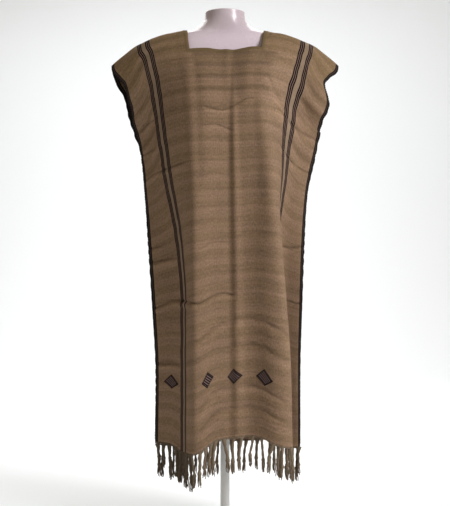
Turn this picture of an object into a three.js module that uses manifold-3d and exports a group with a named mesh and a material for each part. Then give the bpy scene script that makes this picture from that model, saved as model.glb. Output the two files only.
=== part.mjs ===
// A huipil dress worn by a limbless dress form on a floor stand.
//
// The dress is one straight length of handwoven cloth, folded over the shoulders, with a square neck opening.
// Its selvages are joined below the armholes and its ends carry a fringe of twisted warp locks.
// Millimetres, +Z up, the wearer's front towards -Y, +X to the viewer's right, origin on the floor under the pole.
import * as THREE from "three";
import Module from "manifold-3d";

// ---------------------------------------------------------------- driving dimensions
const CLOTH = {
  halfWidth: 336, // selvage to centre, across the weft
  frontLength: 1150, // shoulder fold to front hem, along the warp
  backLength: 1172, // shoulder fold to back hem
  wall: 1.8, // thickness of the cloth wall
};
const NECK = { halfWidth: 108, frontDepth: 111, backDepth: 34, hemWidth: 11, hemRise: 0.9 };
const SEAM = { gap: 0.3, closedBelow: 285 }; // the side seams close this far down from the fold
const STAND_OFF = 0.9; // least clearance between the cloth's inner face and the form
const FOLD = { valley: 235, ridgeLeft: 140, ridgeRight: 180 }; // where the long folds lie, across the weft
const FRINGE = {
  rootWidth: 4.6,
  upperWidth: 7.5,
  bellyWidth: 10,
  tipWidth: 5,
  knotAt: 0.62, // share of a lock's length at which it has leaned over to its neighbour
  stripHeight: 4.5,
  drop: 0.6, // gap between the hem and the strip
  stripWall: 3,
};
const STAND = {
  formBottom: 772,
  poleRadius: 12.5,
  flangeRadius: 45,
  flangeHeight: 8,
  baseRadius: 150,
  baseHeight: 8,
  baseBevel: 2.5,
  footRadius: 30,
  footHeight: 26,
  seat: 0.3, // gap between pieces that stand on each other
};

// ---------------------------------------------------------------- the form's sections, from its foot to its neck
// z: height; side: half width; front, back: depths from the axis; power: 2 is an ellipse, more is squarer.
const FORM_SECTIONS = [
  { z: 772, side: 136, front: 66, back: 86, power: 2.0 },
  { z: 812, side: 145, front: 71, back: 95, power: 2.0 },
  { z: 862, side: 148, front: 77, back: 98, power: 2.05 },
  { z: 912, side: 140, front: 81, back: 92, power: 2.05 },
  { z: 962, side: 127, front: 84, back: 83, power: 2.05 },
  { z: 1007, side: 119, front: 86, back: 78, power: 2.05 },
  { z: 1052, side: 125, front: 96, back: 82, power: 2.1 },
  { z: 1102, side: 141, front: 115, back: 89, power: 2.15 },
  { z: 1152, side: 155, front: 132, back: 94, power: 2.2 },
  { z: 1197, side: 164, front: 124, back: 97, power: 2.25 },
  { z: 1237, side: 176, front: 106, back: 96, power: 2.3 },
  { z: 1272, side: 192, front: 89, back: 90, power: 2.3 },
  { z: 1300, side: 203, front: 76, back: 82, power: 2.3 },
  { z: 1322, side: 204, front: 66, back: 74, power: 2.25 },
  { z: 1335, side: 197, front: 61, back: 69, power: 2.2 },
  { z: 1345, side: 183, front: 58, back: 65, power: 2.15 },
  { z: 1353, side: 164, front: 56, back: 61, power: 2.1 },
  { z: 1359, side: 141, front: 55, back: 58, power: 2.05 },
  { z: 1364, side: 111, front: 54, back: 56, power: 2.0 },
  { z: 1372, side: 87, front: 54, back: 53, power: 2.0 },
  { z: 1384, side: 68, front: 54, back: 50, power: 2.0 },
  { z: 1400, side: 56, front: 54, back: 47, power: 2.0 },
  { z: 1411, side: 54, front: 55, back: 45, power: 2.0 },
  { z: 1420, side: 54, front: 56, back: 45, power: 2.0 },
];
const FORM_AROUND = 36;

// ---------------------------------------------------------------- the cloth's shoulder line and hem
// across: distance from the centre on the weft; x, z: where the fold lies; the line droops past the form's shoulder.
const SHOULDER_LINE = [
  { across: 0, x: 0, z: 1368 },
  { across: 108, x: 108, z: 1366 },
  { across: 150, x: 150, z: 1361 },
  { across: 190, x: 189, z: 1350 },
  { across: 222, x: 218, z: 1339 },
  { across: 250, x: 243, z: 1328 },
  { across: 290, x: 274, z: 1305 },
  { across: 320, x: 300, z: 1284 },
  { across: 336, x: 311, z: 1274 },
];
// across: signed, minus is the viewer's left; front, back: heights of the two hems above the floor.
const HEM_LINE = [
  { across: -336, front: 242, back: 236 },
  { across: -295, front: 242, back: 230 },
  { across: -235, front: 223, back: 223 },
  { across: -190, front: 227, back: 226 },
  { across: -140, front: 231, back: 229 },
  { across: -118, front: 233, back: 228 },
  { across: -95, front: 240, back: 227 },
  { across: -78, front: 248, back: 226 },
  { across: -58, front: 259, back: 225 },
  { across: -28, front: 269, back: 223 },
  { across: 0, front: 272, back: 222 },
  { across: 30, front: 276, back: 223 },
  { across: 55, front: 279, back: 224 },
  { across: 83, front: 276, back: 225 },
  { across: 108, front: 264, back: 228 },
  { across: 138, front: 256, back: 231 },
  { across: 180, front: 248, back: 228 },
  { across: 235, front: 236, back: 224 },
  { across: 295, front: 233, back: 229 },
  { across: 336, front: 234, back: 234 },
];

// ---------------------------------------------------------------- the cloth's cross-sections
// down: distance from the fold along the warp. Each pair ending X, Y is a fold's place; edge is the selvage.
const FRONT_SECTIONS = [
  { down: 0, edgeLX: -311, edgeLY: 0, valleyLX: -230, valleyLY: 0, ridgeLX: -140, ridgeLY: 0, midX: 0, midY: 0, ridgeRX: 179, ridgeRY: 0, valleyRX: 230, valleyRY: 0, edgeRX: 311, edgeRY: 0 },
  { down: 55, edgeLX: -289, edgeLY: -17, valleyLX: -224, valleyLY: -46, ridgeLX: -131, ridgeLY: -54, midX: 1, midY: -49, ridgeRX: 170, ridgeRY: -51, valleyRX: 225, valleyRY: -44, edgeRX: 284, edgeRY: -17 },
  { down: 77, edgeLX: -275, edgeLY: -20, valleyLX: -214, valleyLY: -51, ridgeLX: -128, ridgeLY: -65, midX: 1, midY: -63, ridgeRX: 166, ridgeRY: -60, valleyRX: 219, valleyRY: -48, edgeRX: 272, edgeRY: -20 },
  { down: 104, edgeLX: -268, edgeLY: -23, valleyLX: -207, valleyLY: -56, ridgeLX: -124, ridgeLY: -78, midX: 2, midY: -80, ridgeRX: 161, ridgeRY: -76, valleyRX: 212, valleyRY: -54, edgeRX: 275, edgeRY: -23 },
  { down: 142, edgeLX: -261, edgeLY: -21, valleyLX: -198, valleyLY: -56, ridgeLX: -116, ridgeLY: -93, midX: 2, midY: -99, ridgeRX: 149, ridgeRY: -91, valleyRX: 203, valleyRY: -54, edgeRX: 283, edgeRY: -21 },
  { down: 184, edgeLX: -254, edgeLY: -17, valleyLX: -190, valleyLY: -55, ridgeLX: -109, ridgeLY: -108, midX: 3, midY: -116, ridgeRX: 136, ridgeRY: -105, valleyRX: 192, valleyRY: -52, edgeRX: 270, edgeRY: -17 },
  { down: 285, edgeLX: -231, edgeLY: 4, valleyLX: -176, valleyLY: -50, ridgeLX: -101, ridgeLY: -129, midX: 5, midY: -134, ridgeRX: 129, ridgeRY: -118, valleyRX: 174, valleyRY: -45, edgeRX: 250, edgeRY: 4 },
  { down: 410, edgeLX: -220, edgeLY: 4, valleyLX: -157, valleyLY: -48, ridgeLX: -95, ridgeLY: -131, midX: 6, midY: -128, ridgeRX: 137, ridgeRY: -118, valleyRX: 160, valleyRY: -42, edgeRX: 226, edgeRY: 0 },
  { down: 560, edgeLX: -211, edgeLY: 4, valleyLX: -128, valleyLY: -46, ridgeLX: -91, ridgeLY: -128, midX: 7, midY: -121, ridgeRX: 144, ridgeRY: -119, valleyRX: 145, valleyRY: -38, edgeRX: 216, edgeRY: -18 },
  { down: 740, edgeLX: -200, edgeLY: 4, valleyLX: -112, valleyLY: -45, ridgeLX: -89, ridgeLY: -124, midX: 8, midY: -115, ridgeRX: 157, ridgeRY: -120, valleyRX: 150, valleyRY: -38, edgeRX: 209, edgeRY: -30 },
  { down: 960, edgeLX: -190, edgeLY: 4, valleyLX: -112, valleyLY: -46, ridgeLX: -88, ridgeLY: -120, midX: 8, midY: -110, ridgeRX: 171, ridgeRY: -120, valleyRX: 164, valleyRY: -42, edgeRX: 203, edgeRY: -32 },
  { down: 1150, edgeLX: -192, edgeLY: 4, valleyLX: -112, valleyLY: -48, ridgeLX: -88, ridgeLY: -119, midX: 7, midY: -110, ridgeRX: 175, ridgeRY: -119, valleyRX: 167, valleyRY: -44, edgeRX: 203, edgeRY: -32 },
];
const BACK_SECTIONS = [
  { down: 0, edgeLX: -311, edgeLY: 0, valleyLX: -230, valleyLY: 0, ridgeLX: -140, ridgeLY: 0, midX: 0, midY: 0, ridgeRX: 179, ridgeRY: 0, valleyRX: 230, valleyRY: 0, edgeRX: 311, edgeRY: 0 },
  { down: 30, edgeLX: -306, edgeLY: 10, valleyLX: -223, valleyLY: 27, ridgeLX: -138, ridgeLY: 33, midX: 0, midY: 55, ridgeRX: 175, ridgeRY: 31, valleyRX: 223, valleyRY: 27, edgeRX: 294, edgeRY: 10 },
  { down: 55, edgeLX: -301, edgeLY: 17, valleyLX: -216, valleyLY: 47, ridgeLX: -135, ridgeLY: 58, midX: 0, midY: 74, ridgeRX: 171, ridgeRY: 54, valleyRX: 216, valleyRY: 46, edgeRX: 279, edgeRY: 17 },
  { down: 104, edgeLX: -279, edgeLY: 24, valleyLX: -203, valleyLY: 60, ridgeLX: -130, ridgeLY: 85, midX: 0, midY: 95, ridgeRX: 163, ridgeRY: 79, valleyRX: 203, valleyRY: 58, edgeRX: 267, edgeRY: 24 },
  { down: 184, edgeLX: -263, edgeLY: 21, valleyLX: -186, valleyLY: 63, ridgeLX: -124, ridgeLY: 99, midX: 0, midY: 107, ridgeRX: 154, ridgeRY: 93, valleyRX: 187, valleyRY: 60, edgeRX: 260, edgeRY: 21 },
  { down: 289, edgeLX: -231, edgeLY: 4, valleyLX: -170, valleyLY: 57, ridgeLX: -119, ridgeLY: 103, midX: 1, midY: 112, ridgeRX: 146, ridgeRY: 97, valleyRX: 170, valleyRY: 54, edgeRX: 250, edgeRY: 4.4 },
  { down: 416, edgeLX: -220, edgeLY: 4, valleyLX: -157, valleyLY: 52, ridgeLX: -114, ridgeLY: 104, midX: 1, midY: 113, ridgeRX: 141, ridgeRY: 98, valleyRX: 155, valleyRY: 50, edgeRX: 226, edgeRY: 0.4 },
  { down: 569, edgeLX: -211, edgeLY: 4, valleyLX: -142, valleyLY: 50, ridgeLX: -110, ridgeLY: 107, midX: 2, midY: 117, ridgeRX: 140, ridgeRY: 102, valleyRX: 147, valleyRY: 47, edgeRX: 216, edgeRY: -17.6 },
  { down: 752, edgeLX: -200, edgeLY: 4, valleyLX: -134, valleyLY: 49, ridgeLX: -108, ridgeLY: 110, midX: 4, midY: 120, ridgeRX: 143, ridgeRY: 105, valleyRX: 146, valleyRY: 47, edgeRX: 209, edgeRY: -29.6 },
  { down: 976, edgeLX: -190, edgeLY: 4, valleyLX: -129, valleyLY: 49, ridgeLX: -106, ridgeLY: 110, midX: 6, midY: 121, ridgeRX: 148, ridgeRY: 106, valleyRX: 149, valleyRY: 48, edgeRX: 203, edgeRY: -31.6 },
  { down: 1172, edgeLX: -192, edgeLY: 4, valleyLX: -128, valleyLY: 50, ridgeLX: -105, ridgeLY: 110, midX: 6, midY: 121, ridgeRX: 150, ridgeRY: 107, valleyRX: 151, valleyRY: 50, edgeRX: 203, edgeRY: -31.6 },
];

// ---------------------------------------------------------------- smaller folds
// Each is a soft ridge (height > 0) or trough (height < 0): across, down: its middle; wide, long: its half sizes;
// lean: how far its line shifts across for each unit down.
const FRONT_FOLDS = [
  { across: 5, down: 700, wide: 14, long: 620, height: -5.5, lean: 0 }, // the pressed fold down the centre
  { across: 25, down: 740, wide: 13, long: 600, height: 4, lean: 0 },
  { across: 64, down: 860, wide: 34, long: 520, height: -7, lean: -0.01 }, // hollow beside the right long fold
  { across: 150, down: 880, wide: 26, long: 480, height: 4, lean: 0.02 },
  { across: -50, down: 860, wide: 30, long: 460, height: -2, lean: 0 },
  { across: -108, down: 300, wide: 20, long: 170, height: -5, lean: 0 }, // hollow left of the chest
  { across: 290, down: 205, wide: 60, long: 26, height: -9, lean: 0 }, // slack of the right sleeve
  { across: 300, down: 120, wide: 45, long: 24, height: 8, lean: 0 },
  { across: 292, down: 330, wide: 55, long: 24, height: -5, lean: 0 },
  { across: -298, down: 160, wide: 50, long: 24, height: -7, lean: 0 }, // slack of the left sleeve
  { across: -300, down: 250, wide: 50, long: 26, height: -6, lean: 0 },
  { across: -296, down: 345, wide: 55, long: 22, height: -5, lean: 0 },
];
const BACK_FOLDS = [
  { across: 0, down: 720, wide: 14, long: 620, height: -5, lean: 0 },
  { across: -60, down: 860, wide: 26, long: 460, height: 5, lean: -0.02 },
  { across: 72, down: 820, wide: 28, long: 480, height: -7, lean: 0.02 },
  { across: 292, down: 220, wide: 55, long: 26, height: -7, lean: 0 },
  { across: -295, down: 200, wide: 55, long: 26, height: -8, lean: 0 },
  { across: -292, down: 330, wide: 55, long: 24, height: -5, lean: 0 },
];

// ---------------------------------------------------------------- the fringe's locks
// across: where a lock leaves the hem; lean: how far its tip moves to the viewer's right; long: its length.
const FRONT_LOCKS = [
  { across: -325, lean: 3, long: 66 },
  { across: -306, lean: 0, long: 70 },
  { across: -287, lean: 1, long: 64 },
  { across: -268, lean: 3, long: 84 },
  { across: -248, lean: -2, long: 92 },
  { across: -226, lean: 2, long: 100 },
  { across: -204, lean: 0, long: 97 },
  { across: -182, lean: -2, long: 94 },
  { across: -160, lean: 4, long: 102 },
  { across: -137, lean: 8, long: 92 },
  { across: -96, lean: -2, long: 96 },
  { across: -76, lean: -4, long: 84 },
  { across: -58, lean: -4, long: 90 },
  { across: -42, lean: -4, long: 95 },
  { across: -11, lean: 10, long: 95 },
  { across: 17, lean: -1, long: 99 },
  { across: 36, lean: -6, long: 92 },
  { across: 60, lean: -7, long: 83 },
  { across: 80, lean: 5, long: 94 },
  { across: 106, lean: -9, long: 84 },
  { across: 131, lean: 0, long: 87 },
  { across: 160, lean: 3, long: 84 },
  { across: 184, lean: 1, long: 90 },
  { across: 210, lean: 4, long: 82 },
  { across: 238, lean: 2, long: 76 },
  { across: 258, lean: -1, long: 80 },
  { across: 289, lean: -1, long: 86 },
  { across: 328, lean: 0, long: 78 },
];
const BACK_LOCKS = [
  { across: -326, lean: 3, long: 92 },
  { across: -304, lean: -3, long: 98 },
  { across: -282, lean: 4, long: 102 },
  { across: -260, lean: -3, long: 96 },
  { across: -238, lean: 3, long: 104 },
  { across: -216, lean: -2, long: 99 },
  { across: -194, lean: 3, long: 106 },
  { across: -173, lean: -3, long: 96 },
  { across: -152, lean: -3, long: 103 },
  { across: -129, lean: 3, long: 98 },
  { across: -107, lean: 0, long: 100 },
  { across: -86, lean: -3, long: 92 },
  { across: -68, lean: 0, long: 88 },
  { across: -49, lean: -2, long: 96 },
  { across: -31, lean: -4, long: 100 },
  { across: 14, lean: 6, long: 98 },
  { across: 37, lean: 0, long: 94 },
  { across: 58, lean: -5, long: 101 },
  { across: 92, lean: -3, long: 90 },
  { across: 134, lean: -2, long: 97 },
  { across: 156, lean: 0, long: 102 },
  { across: 180, lean: 3, long: 98 },
  { across: 204, lean: -3, long: 104 },
  { across: 230, lean: 3, long: 96 },
  { across: 254, lean: -3, long: 101 },
  { across: 278, lean: 0, long: 97 },
  { across: 302, lean: 0, long: 103 },
  { across: 326, lean: -3, long: 94 },
];

// ---------------------------------------------------------------- curves through tables
/** Slopes for a smooth curve through the knots; a monotone curve never swings past its knots. */
function slopes(at, value, monotone) {
  const last = at.length - 1;
  const chord = value.slice(1).map((v, i) => (v - value[i]) / (at[i + 1] - at[i]));
  return value.map((_, i) => {
    if (i === 0) return chord[0];
    if (i === last) return chord[last - 1];
    if (monotone && chord[i - 1] * chord[i] <= 0) return 0;
    const before = at[i] - at[i - 1];
    const after = at[i + 1] - at[i];
    if (monotone) {
      const w1 = 2 * after + before;
      const w2 = after + 2 * before;
      return (w1 + w2) / (w1 / chord[i - 1] + w2 / chord[i]);
    }
    return (chord[i - 1] * after + chord[i] * before) / (before + after);
  });
}

/** A cubic curve through (at, value), straight past its ends. */
function curveThrough(at, value, monotone = true) {
  const slope = slopes(at, value, monotone);
  const last = at.length - 1;
  return (t) => {
    if (t <= at[0]) return value[0] + slope[0] * (t - at[0]);
    if (t >= at[last]) return value[last] + slope[last] * (t - at[last]);
    let i = 0;
    while (t > at[i + 1]) i += 1;
    const h = at[i + 1] - at[i];
    const s = (t - at[i]) / h;
    const s2 = s * s;
    const s3 = s2 * s;
    return (
      (2 * s3 - 3 * s2 + 1) * value[i] +
      (s3 - 2 * s2 + s) * h * slope[i] +
      (3 * s2 - 2 * s3) * value[i + 1] +
      (s3 - s2) * h * slope[i + 1]
    );
  };
}

/** One curve for each named column of a table, along its key column. */
function curvesOf(table, key) {
  const at = table.map((row) => row[key]);
  const names = Object.keys(table[0]).filter((name) => name !== key);
  return Object.fromEntries(names.map((name) => [name, curveThrough(at, table.map((row) => row[name]))]));
}

/** A smooth step from 0 at low to 1 at high. */
function smooth(low, high, t) {
  const s = Math.min(1, Math.max(0, (t - low) / (high - low)));
  return s * s * (3 - 2 * s);
}

// ---------------------------------------------------------------- the dress form
const formCurve = curvesOf(FORM_SECTIONS, "z");
const FORM_TOP = FORM_SECTIONS[FORM_SECTIONS.length - 1].z;

/** How far out a point lies at its own height: 1 is on the form's surface, less is inside it. */
function formReach(x, y, z) {
  if (z > FORM_TOP || z < STAND.formBottom) return Infinity;
  const depth = y < 0 ? formCurve.front(z) : formCurve.back(z);
  const power = formCurve.power(z);
  return (Math.abs(x / formCurve.side(z)) ** power + Math.abs(y / depth) ** power) ** (1 / power);
}

/** A closed solid from rings of points, each ring in order, lowest ring first, with flat ends. */
function ringSolid(rings) {
  const around = rings[0].length;
  const positions = rings.flat().flatMap((p) => [p.x, p.y, p.z]);
  const index = [];
  for (let r = 0; r + 1 < rings.length; r += 1) {
    for (let k = 0; k < around; k += 1) {
      const a = r * around + k;
      const b = r * around + ((k + 1) % around);
      index.push(a, b, b + around, a, b + around, a + around);
    }
  }
  for (const [ring, turn] of [[0, 1], [rings.length - 1, 0]]) {
    const centre = positions.length / 3;
    const middle = rings[ring].reduce((sum, p) => sum.add(p), new THREE.Vector3()).divideScalar(around);
    positions.push(middle.x, middle.y, middle.z);
    for (let k = 0; k < around; k += 1) {
      const a = ring * around + k;
      const b = ring * around + ((k + 1) % around);
      index.push(...(turn ? [b, a, centre] : [a, b, centre]));
    }
  }
  const geometry = new THREE.BufferGeometry();
  geometry.setAttribute("position", new THREE.Float32BufferAttribute(positions, 3));
  geometry.setIndex(index);
  return geometry;
}

/** The torso: smooth superellipse sections from its flat foot to its flat neck top. */
function torsoGeometry() {
  const rings = FORM_SECTIONS.map((section) =>
    Array.from({ length: FORM_AROUND }, (_, k) => {
      const angle = (2 * Math.PI * k) / FORM_AROUND;
      const c = Math.cos(angle);
      const s = Math.sin(angle);
      const depth = s < 0 ? section.front : section.back;
      return new THREE.Vector3(
        Math.sign(c) * section.side * Math.abs(c) ** (2 / section.power),
        Math.sign(s) * depth * Math.abs(s) ** (2 / section.power),
        section.z,
      );
    }),
  );
  return ringSolid(rings);
}

/** A turned solid from its half outline, given as [radius, height] pairs from axis to axis. */
function turned(outline, around) {
  return new THREE.LatheGeometry(outline.map(([r, z]) => new THREE.Vector2(r, z)), around).rotateX(Math.PI / 2);
}

// ---------------------------------------------------------------- the cloth's surface
const foldX = curveThrough(SHOULDER_LINE.map((row) => row.across), SHOULDER_LINE.map((row) => row.x));
const foldZ = curveThrough(SHOULDER_LINE.map((row) => row.across), SHOULDER_LINE.map((row) => row.z));
const SIDES = {
  front: { sections: FRONT_SECTIONS, folds: FRONT_FOLDS, locks: FRONT_LOCKS, length: CLOTH.frontLength, hem: "front", outward: -1 },
  back: { sections: BACK_SECTIONS, folds: BACK_FOLDS, locks: BACK_LOCKS, length: CLOTH.backLength, hem: "back", outward: 1 },
};
for (const side of Object.values(SIDES)) {
  side.curves = curvesOf(side.sections, "down");
  side.hemZ = curveThrough(HEM_LINE.map((row) => row.across), HEM_LINE.map((row) => row[side.hem]));
}

/** Where the cloth lies in plan at (across, down): a curve over the weft through its long folds. */
function planPoint(side, across, down) {
  const c = side.curves;
  const at = [-CLOTH.halfWidth, -FOLD.valley, -FOLD.ridgeLeft, 0, FOLD.ridgeRight, FOLD.valley, CLOTH.halfWidth];
  const xs = [c.edgeLX(down), c.valleyLX(down), c.ridgeLX(down), c.midX(down), c.ridgeRX(down), c.valleyRX(down), c.edgeRX(down)];
  const ys = [c.edgeLY(down), c.valleyLY(down), c.ridgeLY(down), c.midY(down), c.ridgeRY(down), c.valleyRY(down), c.edgeRY(down)];
  const hanging = smooth(0, 55, down);
  const x = curveThrough(at, xs, false)(across);
  return {
    x: Math.sign(across) * foldX(Math.abs(across)) * (1 - hanging) + x * hanging,
    y: curveThrough(at, ys, false)(across) + side.outward * (SEAM.gap / 2),
  };
}

/** The height added or taken by the smaller folds at (across, down). */
function foldRelief(side, across, down) {
  const rim = CLOTH.halfWidth - Math.abs(across);
  const fade = down < SEAM.closedBelow - 60 ? 1 : smooth(0, 40, rim);
  return fade * side.folds.reduce((sum, fold) => {
    const over = (across - fold.across - fold.lean * (down - fold.down)) / fold.wide;
    const along = (down - fold.down) / fold.long;
    return sum + fold.height * Math.exp(-over * over) * Math.exp(-(along ** 4));
  }, 0);
}

/** A point moved straight out, in plan and up, until it clears the form. */
function clearOfForm(point, out) {
  const probe = new THREE.Vector3();
  const inside = (t) => {
    probe.copy(point).addScaledVector(out, t);
    return formReach(probe.x, probe.y, probe.z) < 1;
  };
  if (!inside(-STAND_OFF)) return point;
  let low = -STAND_OFF;
  let high = 80;
  for (let step = 0; step < 24; step += 1) {
    const middle = (low + high) / 2;
    if (inside(middle)) low = middle;
    else high = middle;
  }
  return point.clone().addScaledVector(out, high + STAND_OFF);
}

/** One warp thread from the fold to the hem: its points at the given distances down. */
function warpThread(side, across, stations) {
  const step = 5;
  const top = foldZ(Math.abs(across));
  const bottom = side.hemZ(across);
  const plan = [];
  const fall = [0];
  for (let down = 0; down <= side.length + 0.01; down += step) {
    plan.push(planPoint(side, across, down));
    if (plan.length > 1) {
      const a = plan[plan.length - 2];
      const b = plan[plan.length - 1];
      const level = Math.hypot(b.x - a.x, b.y - a.y) / step;
      fall.push(fall[fall.length - 1] + Math.sqrt(Math.max(0.02, 1 - level * level)));
    }
  }
  const total = fall[fall.length - 1];
  return stations.map((down) => {
    const place = Math.min(down / step, fall.length - 1.001);
    const i = Math.floor(place);
    const fallen = fall[i] + (fall[i + 1] - fall[i]) * (place - i);
    const { x, y } = planPoint(side, across, down);
    return new THREE.Vector3(x, y, top - ((top - bottom) * fallen) / total);
  });
}

/** Distances from low to high in near equal steps no longer than size. */
function steps(low, high, size) {
  const count = Math.max(1, Math.round((high - low) / size));
  return Array.from({ length: count }, (_, i) => low + ((high - low) * i) / count);
}

/** The two families of grid lines on a panel, with lines along the neck opening and close together at folds. */
function gridLines(side, neckDepth) {
  const half = [
    ...steps(0, NECK.halfWidth, 27),
    ...steps(NECK.halfWidth, 180, 24),
    ...steps(180, 265, 14.2),
    ...steps(265, CLOTH.halfWidth, 20),
    CLOTH.halfWidth,
  ];
  const across = [...half.slice(1).map((u) => -u).reverse(), ...half];
  const down = [
    SEAM.gap / 2,
    ...steps(14, neckDepth, 15),
    ...steps(neckDepth, 360, 21),
    ...steps(360, 470, 27),
    ...steps(470, side.length, 52),
    side.length,
  ];
  return { across, down };
}

/** The grid of inner-face points of a panel, moved clear of the form and folded. */
function panelPoints(side, lines) {
  const columns = lines.across.map((across) => warpThread(side, across, lines.down));
  const bare = lines.down.map((_, r) => columns.map((column) => column[r]));
  const normals = gridNormals(bare, side.outward);
  return bare.map((row, r) =>
    row.map((point, c) => {
      const normal = normals[r][c];
      const rise = foldRelief(side, lines.across[c], lines.down[r]);
      const folded = point.clone().addScaledVector(normal, rise);
      const upward = 1 - smooth(40, 150, lines.down[r]);
      const out = new THREE.Vector3(0, side.outward, 0).lerp(normal, upward).normalize();
      return clearOfForm(folded, out);
    }),
  );
}

/** Outward unit normals of a grid of points, rows running down and columns across. */
function gridNormals(points, outward) {
  const rows = points.length;
  const columns = points[0].length;
  return points.map((row, r) =>
    row.map((_, c) => {
      const down = new THREE.Vector3().subVectors(points[Math.min(r + 1, rows - 1)][c], points[Math.max(r - 1, 0)][c]);
      const across = new THREE.Vector3().subVectors(row[Math.min(c + 1, columns - 1)], row[Math.max(c - 1, 0)]);
      return new THREE.Vector3().crossVectors(down, across).multiplyScalar(-outward).normalize();
    }),
  );
}

/** A closed wall on a grid: inner points, outer points moved out by rise(r, c), and a rim round every open edge. */
function wallGeometry(inner, outward, rise, kept = () => true) {
  const rows = inner.length;
  const columns = inner[0].length;
  const normals = gridNormals(inner, outward);
  const positions = [];
  const number = new Map();
  const vertex = (r, c, layer) => {
    const key = (r * columns + c) * 2 + layer;
    if (!number.has(key)) {
      const p = inner[r][c].clone();
      if (layer) p.addScaledVector(normals[r][c], rise(r, c));
      number.set(key, positions.length / 3);
      positions.push(p.x, p.y, p.z);
    }
    return number.get(key);
  };
  const index = [];
  const face = (a, b, c, d) => index.push(...(outward < 0 ? [a, b, c, a, c, d] : [a, c, b, a, d, c]));
  const isKept = (r, c) => r >= 0 && c >= 0 && r < rows - 1 && c < columns - 1 && kept(r, c);
  for (let r = 0; r < rows - 1; r += 1) {
    for (let c = 0; c < columns - 1; c += 1) {
      if (!isKept(r, c)) continue;
      face(vertex(r, c, 1), vertex(r + 1, c, 1), vertex(r + 1, c + 1, 1), vertex(r, c + 1, 1));
      face(vertex(r, c, 0), vertex(r, c + 1, 0), vertex(r + 1, c + 1, 0), vertex(r + 1, c, 0));
      const edges = [
        [r - 1, c, r, c, r, c + 1],
        [r + 1, c, r + 1, c + 1, r + 1, c],
        [r, c - 1, r + 1, c, r, c],
        [r, c + 1, r, c + 1, r + 1, c + 1],
      ];
      for (const [nr, nc, r1, c1, r2, c2] of edges) {
        if (!isKept(nr, nc)) face(vertex(r1, c1, 1), vertex(r2, c2, 1), vertex(r2, c2, 0), vertex(r1, c1, 0));
      }
    }
  }
  const geometry = new THREE.BufferGeometry();
  geometry.setAttribute("position", new THREE.Float32BufferAttribute(positions, 3));
  geometry.setIndex(index);
  return geometry;
}

/** A panel of the dress: the wall without the neck opening, thicker along the turned neck hem. */
function panelGeometry(side, neckDepth) {
  const lines = gridLines(side, neckDepth);
  const points = panelPoints(side, lines);
  const inOpening = (across, down) => Math.abs(across) < NECK.halfWidth - 1 && down < neckDepth - 1;
  const nearOpening = (across, down) =>
    Math.abs(across) < NECK.halfWidth + NECK.hemWidth && down < neckDepth + NECK.hemWidth;
  const rise = (r, c) => CLOTH.wall + (nearOpening(lines.across[c], lines.down[r]) ? NECK.hemRise : 0);
  const kept = (r, c) => !inOpening((lines.across[c] + lines.across[c + 1]) / 2, lines.down[r]);
  return wallGeometry(points, side.outward, rise, kept);
}

// ---------------------------------------------------------------- the fringe
/** A repeatable spread of values from -1 to 1. */
function spread(k, salt) {
  const s = Math.sin(k * 12.9898 + salt * 78.233) * 43758.5453;
  return 2 * (s - Math.floor(s)) - 1;
}

/** A four-sided lock of fringe down a path, thin at its root, fullest low down, narrow at its tip. */
function lockGeometry(path, widths) {
  const rings = path.map((p, i) =>
    [[-1, -1], [1, -1], [1, 1], [-1, 1]].map(([a, b]) => new THREE.Vector3(p.x + (a * widths[i]) / 2, p.y + (b * widths[i]) / 2.6, p.z)),
  );
  return ringSolid(rings.reverse());
}

const wasm = await Module();
wasm.setup();

/** A manifold solid from an indexed geometry. */
function toSolid(geometry) {
  const mesh = new wasm.Mesh({
    numProp: 3,
    vertProperties: new Float32Array(geometry.attributes.position.array),
    triVerts: new Uint32Array(geometry.index.array),
  });
  return new wasm.Manifold(mesh);
}

/** A geometry from a manifold solid. */
function toGeometry(solid) {
  const mesh = solid.getMesh();
  const geometry = new THREE.BufferGeometry();
  geometry.setAttribute("position", new THREE.BufferAttribute(Float32Array.from(mesh.vertProperties), 3));
  geometry.setIndex(new THREE.BufferAttribute(Uint32Array.from(mesh.triVerts), 1));
  return geometry;
}

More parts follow.
